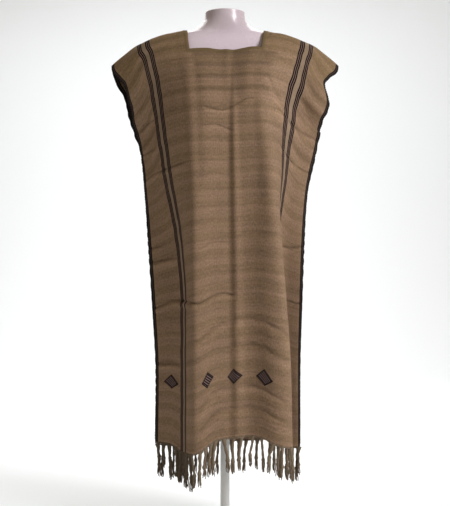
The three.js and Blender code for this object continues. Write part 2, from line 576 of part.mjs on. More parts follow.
/** The fringe of one hem: a strip just below the cloth's edge and the locks that grow from it. */
function fringeGeometry(side, salt) {
  const end = CLOTH.halfWidth - 4;
  const across = gridLines(side, NECK.frontDepth).across.map((u) => Math.min(end, Math.max(-end, u)));
  const lines = { across, down: [side.length - 1, side.length] };
  const hem = panelPoints(side, lines)[1];
  const stripRows = [FRINGE.drop, FRINGE.drop + FRINGE.stripHeight].map((drop) =>
    hem.map((p) => new THREE.Vector3(p.x, p.y, p.z - drop)),
  );
  const inset = (CLOTH.wall - FRINGE.stripWall) / 2;
  const normals = gridNormals(stripRows, side.outward);
  const strip = stripRows.map((row, r) => row.map((p, c) => p.clone().addScaledVector(normals[r][c], inset)));
  let solid = toSolid(wallGeometry(strip, side.outward, () => FRINGE.stripWall));
  const rootX = curveThrough(across, hem.map((p) => p.x), false);
  const rootY = curveThrough(across, hem.map((p) => p.y), false);
  const rootZ = curveThrough(across, hem.map((p) => p.z), false);
  side.locks.forEach(({ across: u, lean, long }, k) => {
    const root = new THREE.Vector3(rootX(u), rootY(u) + (side.outward * CLOTH.wall) / 2, rootZ(u) - FRINGE.drop - FRINGE.stripHeight / 2);
    const along = [0, 0.25, 0.45, FRINGE.knotAt, 0.85, 1];
    const path = along.map((t) => new THREE.Vector3(
      root.x + lean * smooth(0, FRINGE.knotAt, t) + 1.2 * spread(k, salt + 2) * Math.sin(3 * t),
      root.y + 2 * spread(k, salt + 3) * t,
      root.z - long * t,
    ));
    const widths = along.map((t) => {
      const belly = smooth(0.3, FRINGE.knotAt + 0.1, t) * (1 - smooth(0.8, 1, t));
      const upper = FRINGE.rootWidth + (FRINGE.upperWidth - FRINGE.rootWidth) * smooth(0, 0.2, t);
      return upper + (FRINGE.tipWidth - upper) * smooth(0.6, 1, t) + (FRINGE.bellyWidth - upper) * belly;
    });
    solid = solid.add(toSolid(lockGeometry(path, widths)));
  });
  return toGeometry(solid);
}

// ---------------------------------------------------------------- materials and assembly
const MATERIALS = {
  cloth: new THREE.MeshStandardMaterial({ color: 0x8a6f58, roughness: 0.9, metalness: 0 }),
  fringe: new THREE.MeshStandardMaterial({ color: 0x5e4e3e, roughness: 0.95, metalness: 0 }),
  formShell: new THREE.MeshStandardMaterial({ color: 0xe9e4e8, roughness: 0.18, metalness: 0 }),
  standPaint: new THREE.MeshStandardMaterial({ color: 0xf0f0f0, roughness: 0.35, metalness: 0 }),
};

const group = new THREE.Group();

/** Adds one named piece to the group. */
function addPiece(name, geometry, material) {
  const mesh = new THREE.Mesh(geometry, material);
  mesh.name = name;
  group.add(mesh);
}

const { baseRadius, baseHeight, baseBevel, footRadius, footHeight, poleRadius, flangeRadius, flangeHeight, seat } = STAND;
const footBottom = baseHeight + seat;
const poleBottom = footBottom;
const flangeBottom = STAND.formBottom - seat - flangeHeight;
addPiece("base_plate", turned([[0, 0], [baseRadius, 0], [baseRadius, baseHeight - baseBevel], [baseRadius - baseBevel, baseHeight], [0, baseHeight]], 48), MATERIALS.standPaint);
addPiece("pole_foot", turned([[poleRadius + seat, footBottom], [footRadius, footBottom], [footRadius, footBottom + 6], [poleRadius + 5, footBottom + footHeight], [poleRadius + seat, footBottom + footHeight], [poleRadius + seat, footBottom]], 24), MATERIALS.standPaint);
addPiece("pole", turned([[0, poleBottom], [poleRadius, poleBottom], [poleRadius, flangeBottom - seat], [0, flangeBottom - seat]], 24), MATERIALS.standPaint);
addPiece("form_flange", turned([[0, flangeBottom], [flangeRadius, flangeBottom], [flangeRadius, flangeBottom + flangeHeight], [0, flangeBottom + flangeHeight]], 24), MATERIALS.standPaint);
addPiece("form_torso", torsoGeometry(), MATERIALS.formShell);
addPiece("dress_front", panelGeometry(SIDES.front, NECK.frontDepth), MATERIALS.cloth);
addPiece("dress_back", panelGeometry(SIDES.back, NECK.backDepth), MATERIALS.cloth);
addPiece("fringe_front", fringeGeometry(SIDES.front, 1), MATERIALS.fringe);
addPiece("fringe_back", fringeGeometry(SIDES.back, 7), MATERIALS.fringe);

export default group;
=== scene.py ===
"""A huipil dress on a limbless dress form: fine surfaces, weave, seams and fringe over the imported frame.

Lengths are millimetres until a mesh is made, and metres in the mesh. Cloth coordinates are across, measured
from the centre along the weft with minus to the viewer's left, and down, measured from the shoulder fold
along the warp. Every surface is a function of two parameters, worked out on whole numpy grids.
"""

import logging
import math
from dataclasses import dataclass, field
from enum import Enum

import bpy
import numpy as np
from numpy.typing import NDArray
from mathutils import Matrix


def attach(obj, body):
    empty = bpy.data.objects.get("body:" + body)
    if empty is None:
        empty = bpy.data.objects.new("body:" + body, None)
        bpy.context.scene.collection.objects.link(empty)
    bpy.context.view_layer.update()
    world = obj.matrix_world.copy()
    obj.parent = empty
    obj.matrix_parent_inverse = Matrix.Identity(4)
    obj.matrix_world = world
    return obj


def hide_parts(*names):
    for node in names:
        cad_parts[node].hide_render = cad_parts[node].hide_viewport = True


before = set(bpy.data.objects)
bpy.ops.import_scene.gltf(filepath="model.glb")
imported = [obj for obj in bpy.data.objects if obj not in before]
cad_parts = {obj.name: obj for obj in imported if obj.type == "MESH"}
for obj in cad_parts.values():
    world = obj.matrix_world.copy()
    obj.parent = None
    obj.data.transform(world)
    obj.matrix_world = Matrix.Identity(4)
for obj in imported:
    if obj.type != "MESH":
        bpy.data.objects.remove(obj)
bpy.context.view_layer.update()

LOG = logging.getLogger("huipil")
MM = 0.001
ROOT = "root"

Array = NDArray[np.float64]
Numbers = NDArray[np.int64]
Flags = NDArray[np.bool_]
Rows = tuple[tuple[float, ...], ...]
Colour = tuple[float, float, float, float]
Socket = bpy.types.NodeSocket
Value = float | Socket


class Slot(Enum):
    """The record's material slots."""

    CLOTH = "cloth"
    FRINGE = "fringe"
    FORM = "form_shell"
    STAND = "stand_paint"


class Side(Enum):
    """Which panel of the dress, with the sign of its outward direction along Y."""

    FRONT = -1.0
    BACK = 1.0


# ---------------- curves and grids


def knot_slopes(at: Array, value: Array, monotone: bool) -> Array:
    """Slopes at the knots of a smooth curve: chords at the ends, weighted means of two chords between.

    Args:
        at: the knots' places, rising.
        value: the knots' values along the last axis.
        monotone: take the weighted harmonic mean, which never swings past a knot.

    Returns:
        One slope for each value.
    """
    step = np.diff(at)
    chord = np.diff(value, axis=-1) / step
    before, after = step[:-1], step[1:]
    left, right = chord[..., :-1], chord[..., 1:]
    if monotone:
        same_way = left * right > 0
        w1, w2 = 2 * after + before, after + 2 * before
        left = np.where(same_way, left, 1.0)
        right = np.where(same_way, right, 1.0)
        inner = np.where(same_way, (w1 + w2) / (w1 / left + w2 / right), 0.0)
    else:
        inner = (left * after + right * before) / (before + after)
    return np.concatenate([chord[..., :1], inner, chord[..., -1:]], axis=-1)


def through(at: Array, value: Array, t: Array, monotone: bool = True) -> Array:
    """A cubic Hermite curve through knots, straight past its ends.

    Args:
        at: the knots' places, rising.
        value: the knots' values along the last axis.
        t: where to evaluate.
        monotone: keep the curve from swinging past its knots.

    Returns:
        The curve's values, with t along the last axis.
    """
    slope = knot_slopes(at, value, monotone)
    i = np.clip(np.searchsorted(at, t) - 1, 0, len(at) - 2)
    h = at[i + 1] - at[i]
    s = (t - at[i]) / h
    inside = np.clip(s, 0.0, 1.0)
    s2, s3 = inside**2, inside**3
    curve = (
        (2 * s3 - 3 * s2 + 1) * value[..., i]
        + (s3 - 2 * s2 + inside) * h * slope[..., i]
        + (3 * s2 - 2 * s3) * value[..., i + 1]
        + (s3 - s2) * h * slope[..., i + 1]
    )
    end_slope = np.where(s < 0, slope[..., i], slope[..., i + 1])
    return curve + (s - inside) * h * end_slope


def smooth(low: float, high: float, t: Array) -> Array:
    """A smooth step: 3s^2 - 2s^3 of the ratio s, held between 0 and 1.

    Args:
        low: where the step leaves 0.
        high: where it reaches 1.
        t: where to evaluate.

    Returns:
        Values from 0 to 1.
    """
    s = np.clip((t - low) / (high - low), 0.0, 1.0)
    return s * s * (3 - 2 * s)


def bell(t: Array) -> Array:
    """A bell curve: e to the power of minus t squared."""
    return np.exp(-(t**2))


def unit(vectors: Array) -> Array:
    """Vectors scaled to length 1 along the last axis."""
    return vectors / np.maximum(np.linalg.norm(vectors, axis=-1, keepdims=True), 1e-9)


def spread(k: Array, salt: float) -> Array:
    """A repeatable spread: twice the fraction of a large multiple of a sine, less 1.

    Args:
        k: numbers of the pieces.
        salt: sets one row of values apart from another.

    Returns:
        Values from -1 to 1.
    """
    s = np.sin(k * 12.9898 + salt * 78.233) * 43758.5453
    return 2 * (s - np.floor(s)) - 1


def grid_normals(points: Array, outward: float) -> Array:
    """Outward unit normals of a grid: the cross product of its differences down and across.

    Args:
        points: rows x columns x 3, rows running down and columns across.
        outward: the sign of the outward direction along Y.

    Returns:
        Unit normals, rows x columns x 3.
    """
    return unit(np.cross(np.gradient(points, axis=0), np.gradient(points, axis=1)) * -outward)


# ---------------- meshes


@dataclass
class Shape:
    """Vertices, quads and what is stored at them, gathered before it becomes a Blender mesh.

    Attributes:
        points: vertices in millimetres, n x 3.
        quads: vertex numbers, m x 4.
        uv: two pattern coordinates for each vertex in metres, or None.
        marks: named numbers from 0 to 1 at each vertex.
        flat: which quads are shaded flat, or None.
    """

    points: Array
    quads: Numbers
    uv: Array | None = None
    marks: dict[str, Array] = field(default_factory=dict)
    flat: Flags | None = None

    @staticmethod
    def joined(shapes: list["Shape"]) -> "Shape":
        """Several shapes as one, with their vertex numbers carried on.

        Args:
            shapes: shapes that all have the same marks, and all pattern coordinates or none.

        Returns:
            One shape.
        """
        starts = np.cumsum([0] + [len(s.points) for s in shapes[:-1]])
        flats = [np.zeros(len(s.quads), bool) if s.flat is None else s.flat for s in shapes]
        names = shapes[0].marks
        return Shape(
            np.concatenate([s.points for s in shapes]),
            np.concatenate([s.quads + start for s, start in zip(shapes, starts)]),
            np.concatenate([s.uv for s in shapes]) if shapes[0].uv is not None else None,
            {name: np.concatenate([s.marks[name] for s in shapes]) for name in names},
            np.concatenate(flats),
        )

    def to_object(self, name: str, material: bpy.types.Material) -> bpy.types.Object:
        """Makes a Blender object at the origin, with smooth shading but for the flat quads.

        Args:
            name: the piece's name.
            material: its finish.

        Returns:
            The new object.
        """
        mesh = bpy.data.meshes.new(name)
        mesh.vertices.add(len(self.points))
        mesh.vertices.foreach_set("co", (self.points * MM).ravel())
        quads = self.quads.astype(np.int32)
        mesh.loops.add(quads.size)
        mesh.loops.foreach_set("vertex_index", quads.ravel())
        mesh.polygons.add(len(quads))
        mesh.polygons.foreach_set("loop_start", np.arange(0, quads.size, 4, dtype=np.int32))
        smooth_faces = np.ones(len(quads), bool) if self.flat is None else ~self.flat
        mesh.polygons.foreach_set("use_smooth", smooth_faces)
        mesh.update(calc_edges=True)
        if self.uv is not None:
            layer = mesh.uv_layers.new(name="Pattern")
            layer.data.foreach_set("uv", self.uv[quads.ravel()].ravel())
        for mark, values in self.marks.items():
            stored = mesh.attributes.new(mark, "FLOAT", "POINT")
            stored.data.foreach_set("value", values.astype(np.float32))
        mesh.validate()
        mesh.materials.append(material)
        piece = bpy.data.objects.new(name, mesh)
        bpy.context.scene.collection.objects.link(piece)
        return piece


def grid_quads(rows: int, columns: int, wrap: bool) -> Numbers:
    """Quads of a grid of points that are numbered row by row.

    Args:
        rows: points down the grid.
        columns: points across it.
        wrap: join the last column to the first.

    Returns:
        Vertex numbers, cells x 4.
    """
    r = np.arange(rows - 1)[:, None]
    c = np.arange(columns if wrap else columns - 1)[None, :]
    nxt = (c + 1) % columns
    return np.stack(
        [r * columns + c, (r + 1) * columns + c, (r + 1) * columns + nxt, r * columns + nxt], -1
    ).reshape(-1, 4)


def wall(inner: Array, outer: Array, keep: Flags, outward: float, uv: Array) -> Shape:
    """A closed wall between two grids, with a rim round every open edge of the kept cells.

    Args:
        inner: inner points, rows x columns x 3.
        outer: outer points, rows x columns x 3.
        keep: which cells are cloth, (rows - 1) x (columns - 1).
        outward: the sign of the outward direction along Y.
        uv: pattern coordinates in metres, rows x columns x 2.

    Returns:
        The wall, with its faces pointing out, and each vertex's number in the two grids as the mark "kept".
    """
    rows, columns = inner.shape[:2]
    count = rows * columns
    cells = grid_quads(rows, columns, False).reshape(rows - 1, columns - 1, 4)
    padded = np.pad(keep, 1)
    outer_faces = cells[keep] + count
    inner_faces = cells[keep][:, ::-1]
    rims = []
    for dr, dc, first, last in ((0, 1, 3, 0), (2, 1, 1, 2), (1, 0, 0, 1), (1, 2, 2, 3)):
        beyond = padded[dr : dr + rows - 1, dc : dc + columns - 1]
        edge = cells[keep & ~beyond]
        p, q = edge[:, first], edge[:, last]
        rims.append(np.stack([q + count, p + count, p, q], -1))
    rim_faces = np.concatenate(rims)
    quads = np.concatenate([outer_faces, inner_faces, rim_faces])
    if outward > 0:
        quads = quads[:, ::-1]
    used, renumbered = np.unique(quads, return_inverse=True)
    points = np.concatenate([inner.reshape(-1, 3), outer.reshape(-1, 3)])[used]
    flat = np.zeros(len(quads), bool)
    flat[len(outer_faces) + len(inner_faces) :] = True
    both = np.concatenate([uv.reshape(-1, 2)] * 2)[used]
    return Shape(points, renumbered.reshape(-1, 4), both, {"kept": used.astype(float)}, flat)


def sweep(paths: Array, across: Array, radius: Array, profile: Array) -> Shape:
    """Closed tubes along paths: each ring is the path point plus the profile on two cross axes.

    Args:
        paths: tubes x stations x 3.
        across: tubes x stations x 3, a direction not along the path that sets the ring's first axis.
        radius: tubes x stations, the ring's size.
        profile: tubes x stations x sides x 2, the ring's shape for a radius of 1.

    Returns:
        The tubes, closed by ends drawn to a point. Their pattern coordinates go to 10 round the tube, and
        follow its length.
    """
    tubes, stations, sides = profile.shape[:3]
    tangent = unit(np.gradient(paths, axis=1))
    first = unit(across - np.sum(across * tangent, -1, keepdims=True) * tangent)
    second = np.cross(tangent, first)
    ring = profile * radius[..., None, None]
    points = (
        paths[:, :, None, :]
        + ring[..., :1] * first[:, :, None, :]
        + ring[..., 1:] * second[:, :, None, :]
    )
    caps = np.repeat(paths[:, [0, -1], None, :], sides, axis=2)
    points = np.concatenate([caps[:, :1], points, caps[:, 1:]], axis=1)
    rows = stations + 2
    quads = grid_quads(rows, sides, True)[:, ::-1]
    quads = (quads[None] + (np.arange(tubes) * rows * sides)[:, None, None]).reshape(-1, 4)
    length = np.cumsum(np.linalg.norm(np.diff(paths, axis=1), axis=-1), axis=1)
    length = np.concatenate([np.zeros((tubes, 2)), length, length[:, -1:]], 1)
    turn = np.linspace(0, 1, sides, endpoint=False)
    uv = np.stack(np.broadcast_arrays(turn[None, None, :] * 10, length[:, :, None]), -1)
    return Shape(points.reshape(-1, 3), quads, (uv * MM).reshape(-1, 2))


def round_profile(tubes: int, stations: int, sides: int) -> Array:
    """A circle of radius 1 for every ring: cosine and sine of the turn.

    Args:
        tubes: how many tubes.
        stations: rings in a tube.
        sides: points in a ring.

    Returns:
        tubes x stations x sides x 2.
    """
    turn = np.linspace(0, 2 * math.pi, sides, endpoint=False)
    circle = np.stack([np.cos(turn), np.sin(turn)], -1)
    return np.broadcast_to(circle, (tubes, stations, sides, 2)).copy()


# ---------------- the dress form


@dataclass(frozen=True)
class FormSection:
    """A level section of the torso.

    Attributes:
        z: its height.
        side: half width.
        front, back: depths to the front and to the back.
        power: the superellipse's power; 2 is an ellipse, and more is squarer.
    """

    z: float
    side: float
    front: float
    back: float
    power: float


FORM_SECTIONS = tuple(FormSection(*row) for row in (
    (772, 136, 66, 86, 2.0), (812, 145, 71, 95, 2.0), (862, 148, 77, 98, 2.05),
    (912, 140, 81, 92, 2.05), (962, 127, 84, 83, 2.05), (1007, 119, 86, 78, 2.05),
    (1052, 125, 96, 82, 2.1), (1102, 141, 115, 89, 2.15), (1152, 155, 132, 94, 2.2),
    (1197, 164, 124, 97, 2.25), (1237, 176, 106, 96, 2.3), (1272, 192, 89, 90, 2.3),
    (1300, 203, 76, 82, 2.3), (1322, 204, 66, 74, 2.25), (1335, 197, 61, 69, 2.2),
    (1345, 183, 58, 65, 2.15), (1353, 164, 56, 61, 2.1), (1359, 141, 55, 58, 2.05),
    (1364, 111, 54, 56, 2.0), (1372, 87, 54, 53, 2.0), (1384, 68, 54, 50, 2.0),
    (1400, 56, 54, 47, 2.0), (1411, 54, 55, 45, 2.0), (1420, 54, 56, 45, 2.0),
))


@dataclass
class DressForm:
    """The smooth, limbless torso with its neck.

    Attributes:
        sections: its level sections, lowest first.
        around: points in a ring.
        rings: rings up the torso.
        edge: radius of the rounded edges at its foot and at the neck's top.
        edge_steps: rings in a rounded edge.
    """

    sections: tuple[FormSection, ...] = FORM_SECTIONS
    around: int = 128
    rings: int = 200
    edge: float = 2.0
    edge_steps: int = 4

    def column(self, name: str, z: Array) -> Array:
        """One column of the table as a smooth curve over the height."""
        at = np.array([s.z for s in self.sections])
        return through(at, np.array([getattr(s, name) for s in self.sections]), z)

    def reach(self, points: Array) -> Array:
        """How far out points lie at their own height: 1 is on the surface, less is inside.

        The measure is (|x / side|^p + |y / depth|^p)^(1 / p), and endless above and below the form.

        Args:
            points: places, with X, Y and Z along the last axis.

        Returns:
            The measure of each place.
        """
        x, y, z = points[..., 0], points[..., 1], points[..., 2]
        inside = np.clip(z, self.sections[0].z, self.sections[-1].z)
        depth = np.where(y < 0, self.column("front", inside), self.column("back", inside))
        power = self.column("power", inside)
        out = (np.abs(x / self.column("side", inside)) ** power + np.abs(y / depth) ** power) ** (1 / power)
        return np.where(z == inside, out, np.inf)

    def shape(self) -> Shape:
        """Rings at even heights, drawn in round the rounded edges and closed at both ends.

        A point lies at the cosine and sine of its turn, each to the power 2 / p, times half width and depth.

        Returns:
            The closed torso.
        """
        low, high = self.sections[0].z, self.sections[-1].z
        even = np.linspace(low + self.edge, high - self.edge, self.rings)
        turn = np.linspace(0, math.pi / 2, self.edge_steps + 1)[1:]
        rise, draw = self.edge * (1 - np.sin(turn)), self.edge * (1 - np.cos(turn))
        z = np.concatenate([[low], low + rise[::-1], even, high - rise, [high]])
        inset = np.concatenate([[0.0], draw[::-1], np.zeros(self.rings), draw, [0.0]])[:, None]
        shrink = np.concatenate([[0.0], np.ones(len(z) - 2), [0.0]])[:, None]
        angle = np.linspace(0, 2 * math.pi, self.around, endpoint=False)[None, :]
        c, s = np.cos(angle), np.sin(angle)
        power = 2 / self.column("power", z)[:, None]
        depth = np.where(s < 0, self.column("front", z)[:, None], self.column("back", z)[:, None])
        x = np.sign(c) * (self.column("side", z)[:, None] - inset) * np.abs(c) ** power * shrink
        y = np.sign(s) * (depth - inset) * np.abs(s) ** power * shrink
        points = np.stack([x, y, np.broadcast_to(z[:, None], x.shape)], -1)
        quads = grid_quads(len(z), self.around, True)[:, ::-1]
        return Shape(points.reshape(-1, 3), quads)


# ---------------- the cloth's tables


@dataclass(frozen=True)
class Section:
    """A level cut through a panel, from the left selvage to the right one; pairs are (x, y).

    Attributes:
        down: its distance down from the shoulder fold.
        edge_left, valley_left, ridge_left: the left selvage, the hollow beside it and the long fold.
        middle: the middle warp.
        ridge_right, valley_right, edge_right: the same on the right, from the long fold outwards.
    """

    down: float
    edge_left: tuple[float, float]
    valley_left: tuple[float, float]
    ridge_left: tuple[float, float]
    middle: tuple[float, float]
    ridge_right: tuple[float, float]
    valley_right: tuple[float, float]
    edge_right: tuple[float, float]

    def knots(self, axis: int) -> list[float]:
        """The seven places of the section along X (axis 0) or Y (axis 1)."""
        left = (self.edge_left, self.valley_left, self.ridge_left)
        right = (self.ridge_right, self.valley_right, self.edge_right)
        return [pair[axis] for pair in (*left, self.middle, *right)]


@dataclass(frozen=True)
class Fold:
    """A soft ridge, or a trough where its height is below 0.

    Attributes:
        across: its middle, across.
        down: its middle, down.
        wide: half width.
        long: half length.
        height: height of the ridge.
        lean: how far it moves across for each unit down.
    """

    across: float
    down: float
    wide: float
    long: float
    height: float
    lean: float = 0.0


@dataclass(frozen=True)
class Crease:
    """A line pressed into the cloth.

    Attributes:
        line: (across, down) points that it runs through.
        depth: how deep the trough is.
        width: half width of the trough.
        lip: height of the soft ridge just below it, as a share of the depth.
    """

    line: Rows
    depth: float
    width: float = 5.0
    lip: float = 0.4


@dataclass(frozen=True)
class Pressing:
    """The section of a pressed line, in shares of its half width.

    Attributes:
        trough: half width of the trough.
        lip: half width of the lip.
        lip_at: how far below the line the lip's top is.
        shadow: half width of the painted shadow line in the trough.
        shadow_at: how far above the line the painted shadow line is.
        ending: distance in which the line dies out past its ends.
        full_depth: depth, in millimetres, from which a line gets its full painted shade and painted lip
            highlight.
        crisp: half width, in millimetres, up to which a line gets its full painted shade.
        broad: half width, in millimetres, from which its painted shade is least.
        soft_loss: how much of its painted shade a broad line loses.
    """

    trough: float = 0.7
    lip: float = 1.4
    lip_at: float = 2.2
    shadow: float = 0.6
    shadow_at: float = 0.15
    ending: float = 2.0
    full_depth: float = 2.0
    crisp: float = 4.8
    broad: float = 8.0
    soft_loss: float = 0.65


@dataclass(frozen=True)
class Lock:
    """A twisted lock of the fringe.

    Attributes:
        across: where it leaves the hem.
        lean: how far its tip moves to the viewer's right.
        long: its length.
    """

    across: float
    lean: float
    long: float


FRONT_SECTIONS = tuple(Section(*row) for row in (
    (0, (-311, 0), (-230, 0), (-140, 0), (0, 0), (179, 0), (230, 0), (311, 0)),
    (55, (-289, -17), (-224, -46), (-131, -54), (1, -49), (170, -51), (225, -44), (284, -17)),
    (77, (-275, -20), (-214, -51), (-128, -65), (1, -63), (166, -60), (219, -48), (272, -20)),
    (104, (-268, -23), (-207, -56), (-124, -78), (2, -80), (161, -76), (212, -54), (275, -23)),
    (142, (-261, -21), (-198, -56), (-116, -93), (2, -99), (149, -91), (203, -54), (283, -21)),
    (184, (-254, -17), (-190, -55), (-109, -108), (3, -116), (136, -105), (192, -52), (270, -17)),
    (285, (-231, 4), (-176, -50), (-101, -129), (5, -134), (129, -118), (174, -45), (250, 4)),
    (410, (-220, 4), (-157, -48), (-95, -131), (6, -128), (137, -118), (160, -42), (226, 0)),
    (560, (-211, 4), (-128, -46), (-91, -128), (7, -121), (144, -119), (145, -38), (216, -18)),
    (740, (-200, 4), (-112, -45), (-89, -124), (8, -115), (157, -120), (150, -38), (209, -30)),
    (960, (-190, 4), (-112, -46), (-88, -120), (8, -110), (171, -120), (164, -42), (203, -32)),
    (1150, (-192, 4), (-112, -48), (-88, -119), (7, -110), (175, -119), (167, -44), (203, -32)),
))
BACK_SECTIONS = tuple(Section(*row) for row in (
    (0, (-311, 0), (-230, 0), (-140, 0), (0, 0), (179, 0), (230, 0), (311, 0)),
    (30, (-306, 10), (-223, 27), (-138, 33), (0, 55), (175, 31), (223, 27), (294, 10)),
    (55, (-301, 17), (-216, 47), (-135, 58), (0, 74), (171, 54), (216, 46), (279, 17)),
    (104, (-279, 24), (-203, 60), (-130, 85), (0, 95), (163, 79), (203, 58), (267, 24)),
    (184, (-263, 21), (-186, 63), (-124, 99), (0, 107), (154, 93), (187, 60), (260, 21)),
    (289, (-231, 4), (-170, 57), (-119, 103), (1, 112), (146, 97), (170, 54), (250, 4.4)),
    (416, (-220, 4), (-157, 52), (-114, 104), (1, 113), (141, 98), (155, 50), (226, 0.4)),
    (569, (-211, 4), (-142, 50), (-110, 107), (2, 117), (140, 102), (147, 47), (216, -17.6)),
    (752, (-200, 4), (-134, 49), (-108, 110), (4, 120), (143, 105), (146, 47), (209, -29.6)),
    (976, (-190, 4), (-129, 49), (-106, 110), (6, 121), (148, 106), (149, 48), (203, -31.6)),
    (1172, (-192, 4), (-128, 50), (-105, 110), (6, 121), (150, 107), (151, 50), (203, -31.6)),
))
FRONT_FOLDS = tuple(Fold(*row) for row in (
    (5, 700, 14, 620, -5.5),  # the pressed fold down the centre
    (25, 740, 13, 600, 4),
    (64, 860, 34, 520, -7, -0.01),  # hollow beside the right long fold
    (150, 880, 26, 480, 4, 0.02),
    (-50, 860, 30, 460, -2),
    (-108, 300, 20, 170, -5),  # hollow left of the chest
    (290, 205, 60, 26, -9),  # slack of the right sleeve
    (300, 120, 45, 24, 8),
    (292, 330, 55, 24, -5),
    (-298, 160, 50, 24, -7),  # slack of the left sleeve
    (-300, 250, 50, 26, -6),
    (-296, 345, 55, 22, -5),
))
# Shallow folds of the front that only its fine surface has.
FINE_FOLDS = tuple(Fold(*row) for row in (
    (29, 760, 9, 540, 2.8, 0.004),  # the crisp crest beside the pressed fold
    (3, 700, 12, 600, 3.4),
    (5, 90, 14, 190, 3),  # the pressed fold is faint over the chest
    (25, 90, 13, 190, -3),
    (105, 330, 30, 300, -6.5, -0.06),
    (60, 1060, 30, 230, -5),
    (118, 1060, 26, 230, 3.5),
    (-70, 792, 75, 15, 2.8),  # swell below the long crease
    (-50, 872, 70, 13, 2.2),
    (40, 1092, 60, 14, 2.4),
    (278, 160, 38, 18, 4.5),  # slack of the right sleeve
    (280, 222, 40, 20, -3),
    (-150, 620, 16, 560, -3),
    (-118, 620, 16, 560, 2.5),
))
BACK_FOLDS = tuple(Fold(*row) for row in (
    (0, 720, 14, 620, -5),
    (-60, 860, 26, 460, 5, -0.02),
    (72, 820, 28, 480, -7, 0.02),
    (292, 220, 55, 26, -7),
    (-295, 200, 55, 26, -8),
    (-292, 330, 55, 24, -5),
))
FRONT_CREASES = tuple(Crease(*row) for row in (
    (
        ((-322, 752), (-262, 740), (-205, 752), (-144, 765), (-96, 775), (-54, 771), (-12, 768), (10, 772)),
        4.6, 4.8, 0.7,
    ),
    (((-80, 279), (-66, 284), (-44, 288), (-12, 287), (4, 283)), 2.4, 3.4),
    (((14, 282), (36, 276), (60, 271), (100, 270)), 2, 3.4),
    (((-82, 328), (-30, 328), (4, 336), (16, 340)), 2.2, 3.4),
    (((-318, 232), (-282, 234), (-240, 245)), 1.7, 4),
    (((-326, 297), (-300, 305), (-268, 314)), 1.8, 4),
    (((-330, 372), (-296, 374), (-258, 381), (-205, 394), (-162, 405)), 2.2, 4.2),
    (((-330, 574), (-298, 580)), 1.5, 4),
    (((-324, 616), (-286, 622), (-250, 625)), 3.2, 5.6),
    (((-324, 918), (-296, 923), (-266, 920)), 3.4, 5.6),
    (((226, 602), (262, 590), (300, 578), (330, 566)), 2.4, 4.5),
    (((250, 738), (290, 736), (326, 735)), 2, 4.5),
    (((156, 196), (180, 222), (206, 240)), 2.2, 8),
    (((190, 255), (240, 262), (320, 250)), 2.4, 7),
    (((210, 345), (260, 352), (326, 348)), 1.8, 5),
    (((-92, 1096), (-50, 1080), (-12, 1074), (40, 1073), (80, 1077), (124, 1086)), 4.6, 9),
    (((-100, 1040), (-60, 1026), (-14, 1018)), 3.4, 9),
    (((40, 1014), (96, 1026), (140, 1036)), 3.4, 8),
    (((-110, 868), (-60, 858), (-20, 846)), 3.2, 7),
    (((30, 838), (90, 846), (150, 862)), 3.2, 8),
    (((20, 905), (80, 912), (140, 930)), 3.2, 9),
    (((-110, 640), (-50, 632), (0, 634)), 0.9, 4),
    (((16, 520), (70, 524), (120, 520)), 0.8, 4),
    (((-96, 455), (-40, 452), (4, 458)), 0.8, 4),
))
BACK_CREASES = tuple(Crease(*row) for row in (
    (
        ((-322, 748), (-240, 742), (-140, 762), (-50, 772), (20, 768), (110, 760), (200, 744), (322, 742)),
        2.4, 4.5,
    ),
    (((-92, 300), (-30, 306), (16, 300)), 1.8, 3.8),
    (((20, 352), (80, 346), (120, 350)), 1.6, 3.8),
    (((-326, 300), (-270, 316)), 1.8, 4),
    (((326, 392), (262, 402), (190, 396)), 2, 4.2),
    (((-326, 560), (-250, 570)), 1.8, 5),
    (((326, 610), (250, 626)), 2.2, 6),
    (((-110, 1088), (-30, 1070), (60, 1078), (130, 1094)), 2, 5),
    (((-90, 900), (0, 892), (80, 902)), 1.2, 6),
    (((-96, 520), (0, 514), (90, 520)), 1, 5),
))
FRONT_LOCKS = tuple(Lock(*row) for row in (
    (-325, 3, 66), (-306, 0, 70), (-287, 1, 64), (-268, 3, 84), (-248, -2, 92), (-226, 2, 100),
    (-204, 0, 97), (-182, -2, 94), (-160, 4, 102), (-137, 8, 92), (-96, -2, 96), (-76, -4, 84),
    (-58, -4, 90), (-42, -4, 95), (-11, 10, 95), (17, -1, 99), (36, -6, 92), (60, -7, 83),
    (80, 5, 94), (106, -9, 84), (131, 0, 87), (160, 3, 84), (184, 1, 90), (210, 4, 82),
    (238, 2, 76), (258, -1, 80), (289, -1, 86), (328, 0, 78),
))
BACK_LOCKS = tuple(Lock(*row) for row in (
    (-326, 3, 92), (-304, -3, 98), (-282, 4, 102), (-260, -3, 96), (-238, 3, 104), (-216, -2, 99),
    (-194, 3, 106), (-173, -3, 96), (-152, -3, 103), (-129, 3, 98), (-107, 0, 100), (-86, -3, 92),
    (-68, 0, 88), (-49, -2, 96), (-31, -4, 100), (14, 6, 98), (37, 0, 94), (58, -5, 101),
    (92, -3, 90), (134, -2, 97), (156, 0, 102), (180, 3, 98), (204, -3, 104), (230, 3, 96),
    (254, -3, 101), (278, 0, 97), (302, 0, 103), (326, -3, 94),
))
# The shoulder fold: distance across from the middle, place along X, and height.
SHOULDER_LINE = np.array(
    [(0, 0, 1368), (108, 108, 1366), (150, 150, 1361), (190, 189, 1350), (222, 218, 1339)]
    + [(250, 243, 1328), (290, 274, 1305), (320, 300, 1284), (336, 311, 1274)],
    float,
)
